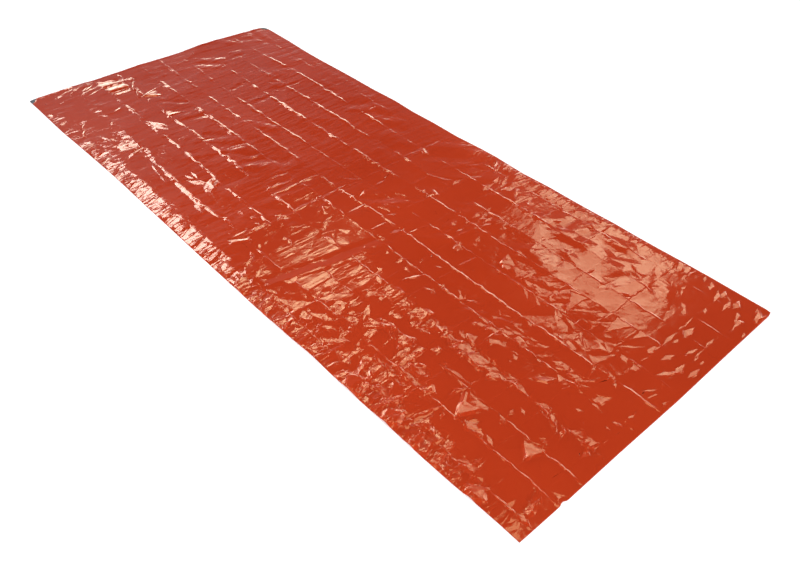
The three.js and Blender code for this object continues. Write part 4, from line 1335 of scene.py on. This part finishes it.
def film_material(name, deep=(0.395, 0.0280, 0.0066), light=(0.515, 0.0435, 0.0106)):
    m, nt, bsdf = nodes_of(name)
    n, l = nt.nodes, nt.links
    coords = n.new("ShaderNodeTexCoord")
    cloud = n.new("ShaderNodeTexNoise")
    cloud.inputs["Scale"].default_value = 3.2
    cloud.inputs["Detail"].default_value = 3
    l.new(coords.outputs["Object"], cloud.inputs["Vector"])
    mix = n.new("ShaderNodeMix")
    mix.data_type = "RGBA"
    mix.inputs["A"].default_value = (*deep, 1)
    mix.inputs["B"].default_value = (*light, 1)
    place = n.new("ShaderNodeSeparateXYZ")
    l.new(coords.outputs["Object"], place.inputs["Vector"])
    along = n.new("ShaderNodeMapRange")          # painted shade: the base colour is made deeper towards the mouth, standing in for less light on that end
    along.inputs["From Min"].default_value = 0.8
    along.inputs["From Max"].default_value = -0.3
    along.inputs["To Min"].default_value = -0.4
    along.inputs["To Max"].default_value = 0.3
    l.new(place.outputs["Y"], along.inputs["Value"])
    # the factor is the film's random tone from the cloud plus the painted shade towards the mouth
    shade = n.new("ShaderNodeMath")
    shade.operation = "ADD"
    shade.use_clamp = True
    l.new(cloud.outputs["Fac"], shade.inputs[0])
    l.new(along.outputs["Result"], shade.inputs[1])
    l.new(shade.outputs[0], mix.inputs["Factor"])
    l.new(mix.outputs["Result"], bsdf.inputs["Base Color"])
    bsdf.inputs["IOR"].default_value = 1.6
    bsdf.inputs["Specular Tint"].default_value = (1.0, 0.68, 0.37, 1)
    haze = n.new("ShaderNodeTexNoise")
    haze.inputs["Scale"].default_value = 40
    haze.inputs["Detail"].default_value = 4
    l.new(coords.outputs["Object"], haze.inputs["Vector"])
    rough = n.new("ShaderNodeMapRange")
    rough.inputs["To Min"].default_value = 0.07
    rough.inputs["To Max"].default_value = 0.14
    l.new(haze.outputs["Fac"], rough.inputs["Value"])
    l.new(rough.outputs["Result"], bsdf.inputs["Roughness"])
    # fine film ripple
    ripple = n.new("ShaderNodeTexNoise")
    ripple.inputs["Scale"].default_value = 55
    ripple.inputs["Detail"].default_value = 5
    ripple.inputs["Roughness"].default_value = 0.55
    l.new(coords.outputs["Object"], ripple.inputs["Vector"])
    bump = n.new("ShaderNodeBump")
    bump.inputs["Strength"].default_value = 0.2
    bump.inputs["Distance"].default_value = 0.0006
    l.new(ripple.outputs["Fac"], bump.inputs["Height"])
    # fine ripples that run across the bag between its folds, strongest in the mouth half
    stretch = n.new("ShaderNodeVectorMath")
    stretch.operation = "MULTIPLY"
    stretch.inputs[1].default_value = (11.0, 50.0, 0.0)
    l.new(coords.outputs["Object"], stretch.inputs[0])
    cross = n.new("ShaderNodeTexNoise")
    cross.inputs["Scale"].default_value = 1.0
    cross.inputs["Detail"].default_value = 2
    cross.inputs["Roughness"].default_value = 0.5
    l.new(stretch.outputs["Vector"], cross.inputs["Vector"])
    fade = n.new("ShaderNodeMapRange")
    fade.inputs["From Min"].default_value = -0.15
    fade.inputs["From Max"].default_value = 0.1
    fade.inputs["To Min"].default_value = 0.25
    fade.inputs["To Max"].default_value = 1.0
    l.new(place.outputs["Y"], fade.inputs["Value"])
    lines = n.new("ShaderNodeMath")
    lines.operation = "MULTIPLY"
    l.new(cross.outputs["Fac"], lines.inputs[0])
    l.new(fade.outputs["Result"], lines.inputs[1])
    rib = n.new("ShaderNodeBump")
    rib.inputs["Strength"].default_value = 1.0
    rib.inputs["Distance"].default_value = 0.0014
    l.new(lines.outputs[0], rib.inputs["Height"])
    l.new(bump.outputs["Normal"], rib.inputs["Normal"])
    # fine wrinkles, along the folds and in the crumpled places
    skin = n.new("ShaderNodeAttribute")
    skin.attribute_name = "crumple"
    bend = n.new("ShaderNodeTexNoise")
    bend.inputs["Scale"].default_value = 22
    bend.inputs["Detail"].default_value = 2
    l.new(coords.outputs["Object"], bend.inputs["Vector"])
    push = n.new("ShaderNodeVectorMath")
    push.operation = "MULTIPLY_ADD"
    push.inputs[1].default_value = (0.02, 0.02, 0.0)
    l.new(bend.outputs["Color"], push.inputs[0])
    l.new(coords.outputs["Object"], push.inputs[2])
    wrinkle = n.new("ShaderNodeTexNoise")
    wrinkle.noise_type = "RIDGED_MULTIFRACTAL"
    wrinkle.normalize = True
    wrinkle.inputs["Scale"].default_value = 60
    wrinkle.inputs["Detail"].default_value = 3
    wrinkle.inputs["Roughness"].default_value = 0.6
    l.new(push.outputs["Vector"], wrinkle.inputs["Vector"])
    both = n.new("ShaderNodeMath")
    both.operation = "MULTIPLY"
    l.new(wrinkle.outputs["Fac"], both.inputs[0])
    l.new(skin.outputs["Fac"], both.inputs[1])
    creases = n.new("ShaderNodeBump")
    creases.inputs["Strength"].default_value = 1.0
    creases.inputs["Distance"].default_value = 0.00045
    l.new(both.outputs[0], creases.inputs["Height"])
    l.new(rib.outputs["Normal"], creases.inputs["Normal"])
    l.new(creases.outputs["Normal"], bsdf.inputs["Normal"])
    return m


def silver_material(name):
    m, nt, bsdf = nodes_of(name)
    n, l = nt.nodes, nt.links
    coords = n.new("ShaderNodeTexCoord")
    cloud = n.new("ShaderNodeTexNoise")
    cloud.inputs["Scale"].default_value = 30
    l.new(coords.outputs["Object"], cloud.inputs["Vector"])
    mix = n.new("ShaderNodeMix")
    mix.data_type = "RGBA"
    # the silver is the film's real inner face, but its near-black colour is painted shade: it keeps the mouth's corner
    # tips and the lower film's rim dark
    mix.inputs["A"].default_value = (0.018, 0.019, 0.022, 1)
    mix.inputs["B"].default_value = (0.042, 0.043, 0.048, 1)
    l.new(cloud.outputs["Fac"], mix.inputs["Factor"])
    l.new(mix.outputs["Result"], bsdf.inputs["Base Color"])
    bsdf.inputs["Metallic"].default_value = 0.35
    bsdf.inputs["Roughness"].default_value = 0.42
    bsdf.inputs["Specular IOR Level"].default_value = 0.25
    bump = n.new("ShaderNodeBump")
    bump.inputs["Strength"].default_value = 0.3
    bump.inputs["Distance"].default_value = 0.0006
    l.new(cloud.outputs["Fac"], bump.inputs["Height"])
    l.new(bump.outputs["Normal"], bsdf.inputs["Normal"])
    return m


film = film_material("film_gloss")
under_film = film_material("film_under")
silver = silver_material("film_silver")
upper_film.data.materials.append(film)
lower_film.data.materials.append(under_film)
lower_film.data.materials.append(silver)
which = np.zeros(len(lower_film.data.polygons), np.int32)
middle_a, middle_d = UP[UF, 0].mean(1), UP[UF, 1].mean(1)
inside = (middle_a > 14) & (middle_a < WIDTH - 14) & (middle_d < LENGTH - 14)
which[:n_lower_top] = inside | (middle_d < 30)      # silver inside the welds and at the mouth's corners
lower_film.data.polygons.foreach_set("material_index", which)

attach(upper_film, "root")
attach(lower_film, "root")
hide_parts("upper_panel")
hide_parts("lower_panel")

# ------------------------------------------------------------------ floor, lights, world, camera
floor_mesh = bpy.data.meshes.new("floor")
s = 14.0
floor_mesh.from_pydata([(-s, -s, 0), (s, -s, 0), (s, s, 0), (-s, s, 0)], [], [(0, 1, 2, 3)])
floor = bpy.data.objects.new("floor", floor_mesh)
bpy.context.scene.collection.objects.link(floor)
fm, fnt, fb = nodes_of("floor_white")
fb.inputs["Base Color"].default_value = (0.94, 0.94, 0.95, 1)
fb.inputs["Roughness"].default_value = 0.9
fb.inputs["Specular IOR Level"].default_value = 0.0
fb.inputs["Emission Color"].default_value = (1, 1, 1, 1)
fb.inputs["Emission Strength"].default_value = 0.22
floor_mesh.materials.append(fm)


def area_light(name, centre, size, power_per_m2, colour, shape="RECTANGLE", turn=0.0, glossy=True):
    data = bpy.data.lights.new(name, "AREA")
    data.shape = shape
    data.size = size[0]
    if shape in ("RECTANGLE", "ELLIPSE"):
        data.size_y = size[1]
    area = size[0] * size[1] * (math.pi / 4 if shape in ("DISK", "ELLIPSE") else 1)
    data.energy = power_per_m2 * math.pi * area  # radiance times pi times area, one side
    data.color = colour
    obj = bpy.data.objects.new(name, data)
    obj.location = centre
    obj.rotation_euler = (0, 0, turn)
    bpy.context.scene.collection.objects.link(obj)
    obj.visible_glossy = glossy
    obj.visible_camera = False
    return obj


# the two soft boxes hang flat, 1.6 m up, past the right side of the bag
area_light("soft_box_right", (1.976, 0.325, 1.6), (0.99, 0.99), 3.1, (0.95, 1.0, 0.86), "DISK")
area_light("soft_box_right_far", (2.33, 0.467, 1.59), (0.36, 1.08), 1.9, (0.95, 1.0, 0.86), "RECTANGLE")
area_light("soft_box_back", (0.867, 1.256, 1.6), (0.40, 0.194), 9.3, (0.92, 1.0, 0.86), "RECTANGLE")

# a long soft box stands off to the back on the left; only the film's shine shows it
side_box = area_light("soft_box_left", (0.09, 2.205, 1.6), (0.58, 1.35), 12.0, (0.90, 1.0, 1.12), "RECTANGLE")
side_box.visible_diffuse = False

# and six more round the other sides and overhead, so that the film shines from there as it does from the front
for name, centre, size in (("soft_box_front_left", (-2.25, -0.35, 1.6), (0.9, 1.3)), ("soft_box_front", (-0.95, -2.75, 1.6), (1.3, 0.8)),
                           ("soft_box_back_left", (-1.75, 1.6, 1.6), (0.9, 0.9)), ("soft_box_front_right", (1.35, -2.4, 1.6), (0.9, 0.9)),
                           ("soft_box_over_mouth", (-0.5, 0.95, 2.6), (0.8, 0.7)), ("soft_box_over_foot", (0.5, -0.85, 2.6), (0.8, 1.0))):
    area_light(name, centre, size, 4.0, (0.95, 1.0, 0.88)).visible_diffuse = False

# a black flag cuts the near side of the right-hand box
flag_mesh = bpy.data.meshes.new("flag")
flag_mesh.from_pydata([(1.30, -0.30, 1.585), (1.783, -0.30, 1.585), (1.783, 0.95, 1.585), (1.30, 0.95, 1.585)], [], [(0, 1, 2, 3)])
flag = bpy.data.objects.new("flag", flag_mesh)
bpy.context.scene.collection.objects.link(flag)
flag_mat, _, flag_shader = nodes_of("flag_black")
flag_shader.inputs["Base Color"].default_value = (0.01, 0.01, 0.01, 1)
flag_shader.inputs["Roughness"].default_value = 1.0
flag_shader.inputs["Specular IOR Level"].default_value = 0.0
flag_mesh.materials.append(flag_mat)
flag.visible_camera = False

area_light("soft_key", (-1.7, -0.2, 1.7), (1.6, 1.6), 1.5, (1.0, 1.0, 1.0), "RECTANGLE", glossy=False)

fill = bpy.data.lights.new("fill", "SUN")
fill.energy = 2.3
fill.color = (0.97, 0.98, 1.0)
fill.angle = math.radians(60)
fill_obj = bpy.data.objects.new("fill", fill)
fill_obj.rotation_euler = (math.radians(18), math.radians(-12), 0)
bpy.context.scene.collection.objects.link(fill_obj)
fill_obj.visible_glossy = False

world = bpy.data.worlds.new("studio")
bpy.context.scene.world = world
world.use_nodes = True
wn, wl = world.node_tree.nodes, world.node_tree.links
wn.clear()
wout = wn.new("ShaderNodeOutputWorld")
wback = wn.new("ShaderNodeBackground")
wtc = wn.new("ShaderNodeTexCoord")
wsep = wn.new("ShaderNodeSeparateXYZ")
wl.new(wtc.outputs["Generated"], wsep.inputs["Vector"])
wl.new(wback.outputs["Background"], wout.inputs["Surface"])


def height_ramp(height, stops):
    ramp = wn.new("ShaderNodeValToRGB")
    wl.new(height, ramp.inputs["Fac"])
    while len(ramp.color_ramp.elements) < len(stops):
        ramp.color_ramp.elements.new(0.5)
    for e, (p, v) in zip(ramp.color_ramp.elements, stops):
        e.position = p
        blue = 0.84 if v > 0.2 else 1.2
        e.color = (v, v * (0.97 if v > 0.2 else 1.05), v * blue, 1)
    return ramp


def sky_math(operation, *values):
    node = wn.new("ShaderNodeMath")
    node.operation = operation
    for socket, value in zip(node.inputs, values):
        if isinstance(value, float):
            socket.default_value = value
        else:
            wl.new(value, socket)
    return node.outputs[0]


# the front wall is as the back wall but lit less far up, and so is the left wall beside the right wall
across_share, along_share = sky_math("ABSOLUTE", wsep.outputs["X"]), sky_math("ABSOLUTE", wsep.outputs["Y"])
ahead_share = sky_math("MAXIMUM", wsep.outputs["Y"], sky_math("MULTIPLY", wsep.outputs["Y"], -0.42))
side_height = sky_math("MULTIPLY", wsep.outputs["Z"], sky_math("MULTIPLY_ADD", sky_math("LESS_THAN", wsep.outputs["X"], 0.0), 0.9, 1.0))
# the back wall, by its height over its distance: lit low down, dimmer above, then the dark ceiling
ahead = wn.new("ShaderNodeMath")
ahead.operation = "MAXIMUM"
ahead.inputs[1].default_value = 0.05
wl.new(ahead_share, ahead.inputs[0])
slope = wn.new("ShaderNodeMath")
slope.operation = "DIVIDE"
wl.new(wsep.outputs["Z"], slope.inputs[0])
wl.new(ahead.outputs[0], slope.inputs[1])
back_ramp = height_ramp(slope.outputs[0], [(0.0, 1.4), (0.12, 1.25), (0.19, 1.05), (0.25, 0.75), (0.30, 0.38), (0.35, 0.17), (0.41, 0.09),
                                           (0.46, 0.085), (0.505, 0.066), (0.55, 0.088), (0.595, 0.064), (0.64, 0.088), (0.685, 0.062), (0.72, 0.075), (0.80, 0.018), (0.90, 0.008)])
# the right-hand wall, by the sine of the height above the horizon
right_ramp = height_ramp(side_height, [(0.0, 0.9), (0.10, 0.8), (0.18, 0.62), (0.24, 0.32), (0.29, 0.14), (0.34, 0.06),
                                             (0.43, 0.035), (0.50, 0.025), (0.56, 0.010), (1.0, 0.006)])
side = wn.new("ShaderNodeMath")
side.operation = "MULTIPLY_ADD"
side.inputs[1].default_value = -0.6
wl.new(along_share, side.inputs[0])
wl.new(across_share, side.inputs[2])
rightness = wn.new("ShaderNodeMapRange")
rightness.inputs["From Min"].default_value = -0.04
rightness.inputs["From Max"].default_value = 0.21
wl.new(side.outputs[0], rightness.inputs["Value"])
wmix = wn.new("ShaderNodeMix")
wmix.data_type = "RGBA"
wl.new(rightness.outputs["Result"], wmix.inputs["Factor"])
wl.new(back_ramp.outputs["Color"], wmix.inputs["A"])
wl.new(right_ramp.outputs["Color"], wmix.inputs["B"])
wl.new(wmix.outputs["Result"], wback.inputs["Color"])
wback.inputs["Strength"].default_value = 5.0

cam_data = bpy.data.cameras.new("camera")
cam_data.sensor_width = 36.0
cam_data.lens = 785.8 / 800 * 36.0
cam = bpy.data.objects.new("camera", cam_data)
bpy.context.scene.collection.objects.link(cam)
turn = Matrix(((0.7392, 0.43086, -0.51762), (-0.67293, 0.50352, -0.54188), (0.02716, 0.74888, 0.66214)))
cam.matrix_world = Matrix.Translation(Vector((-1.14835, -1.4427, 1.2824))) @ turn.to_4x4()
bpy.context.scene.camera = cam
bpy.context.scene.view_settings.view_transform = "Standard"

bpy.context.view_layer.update()
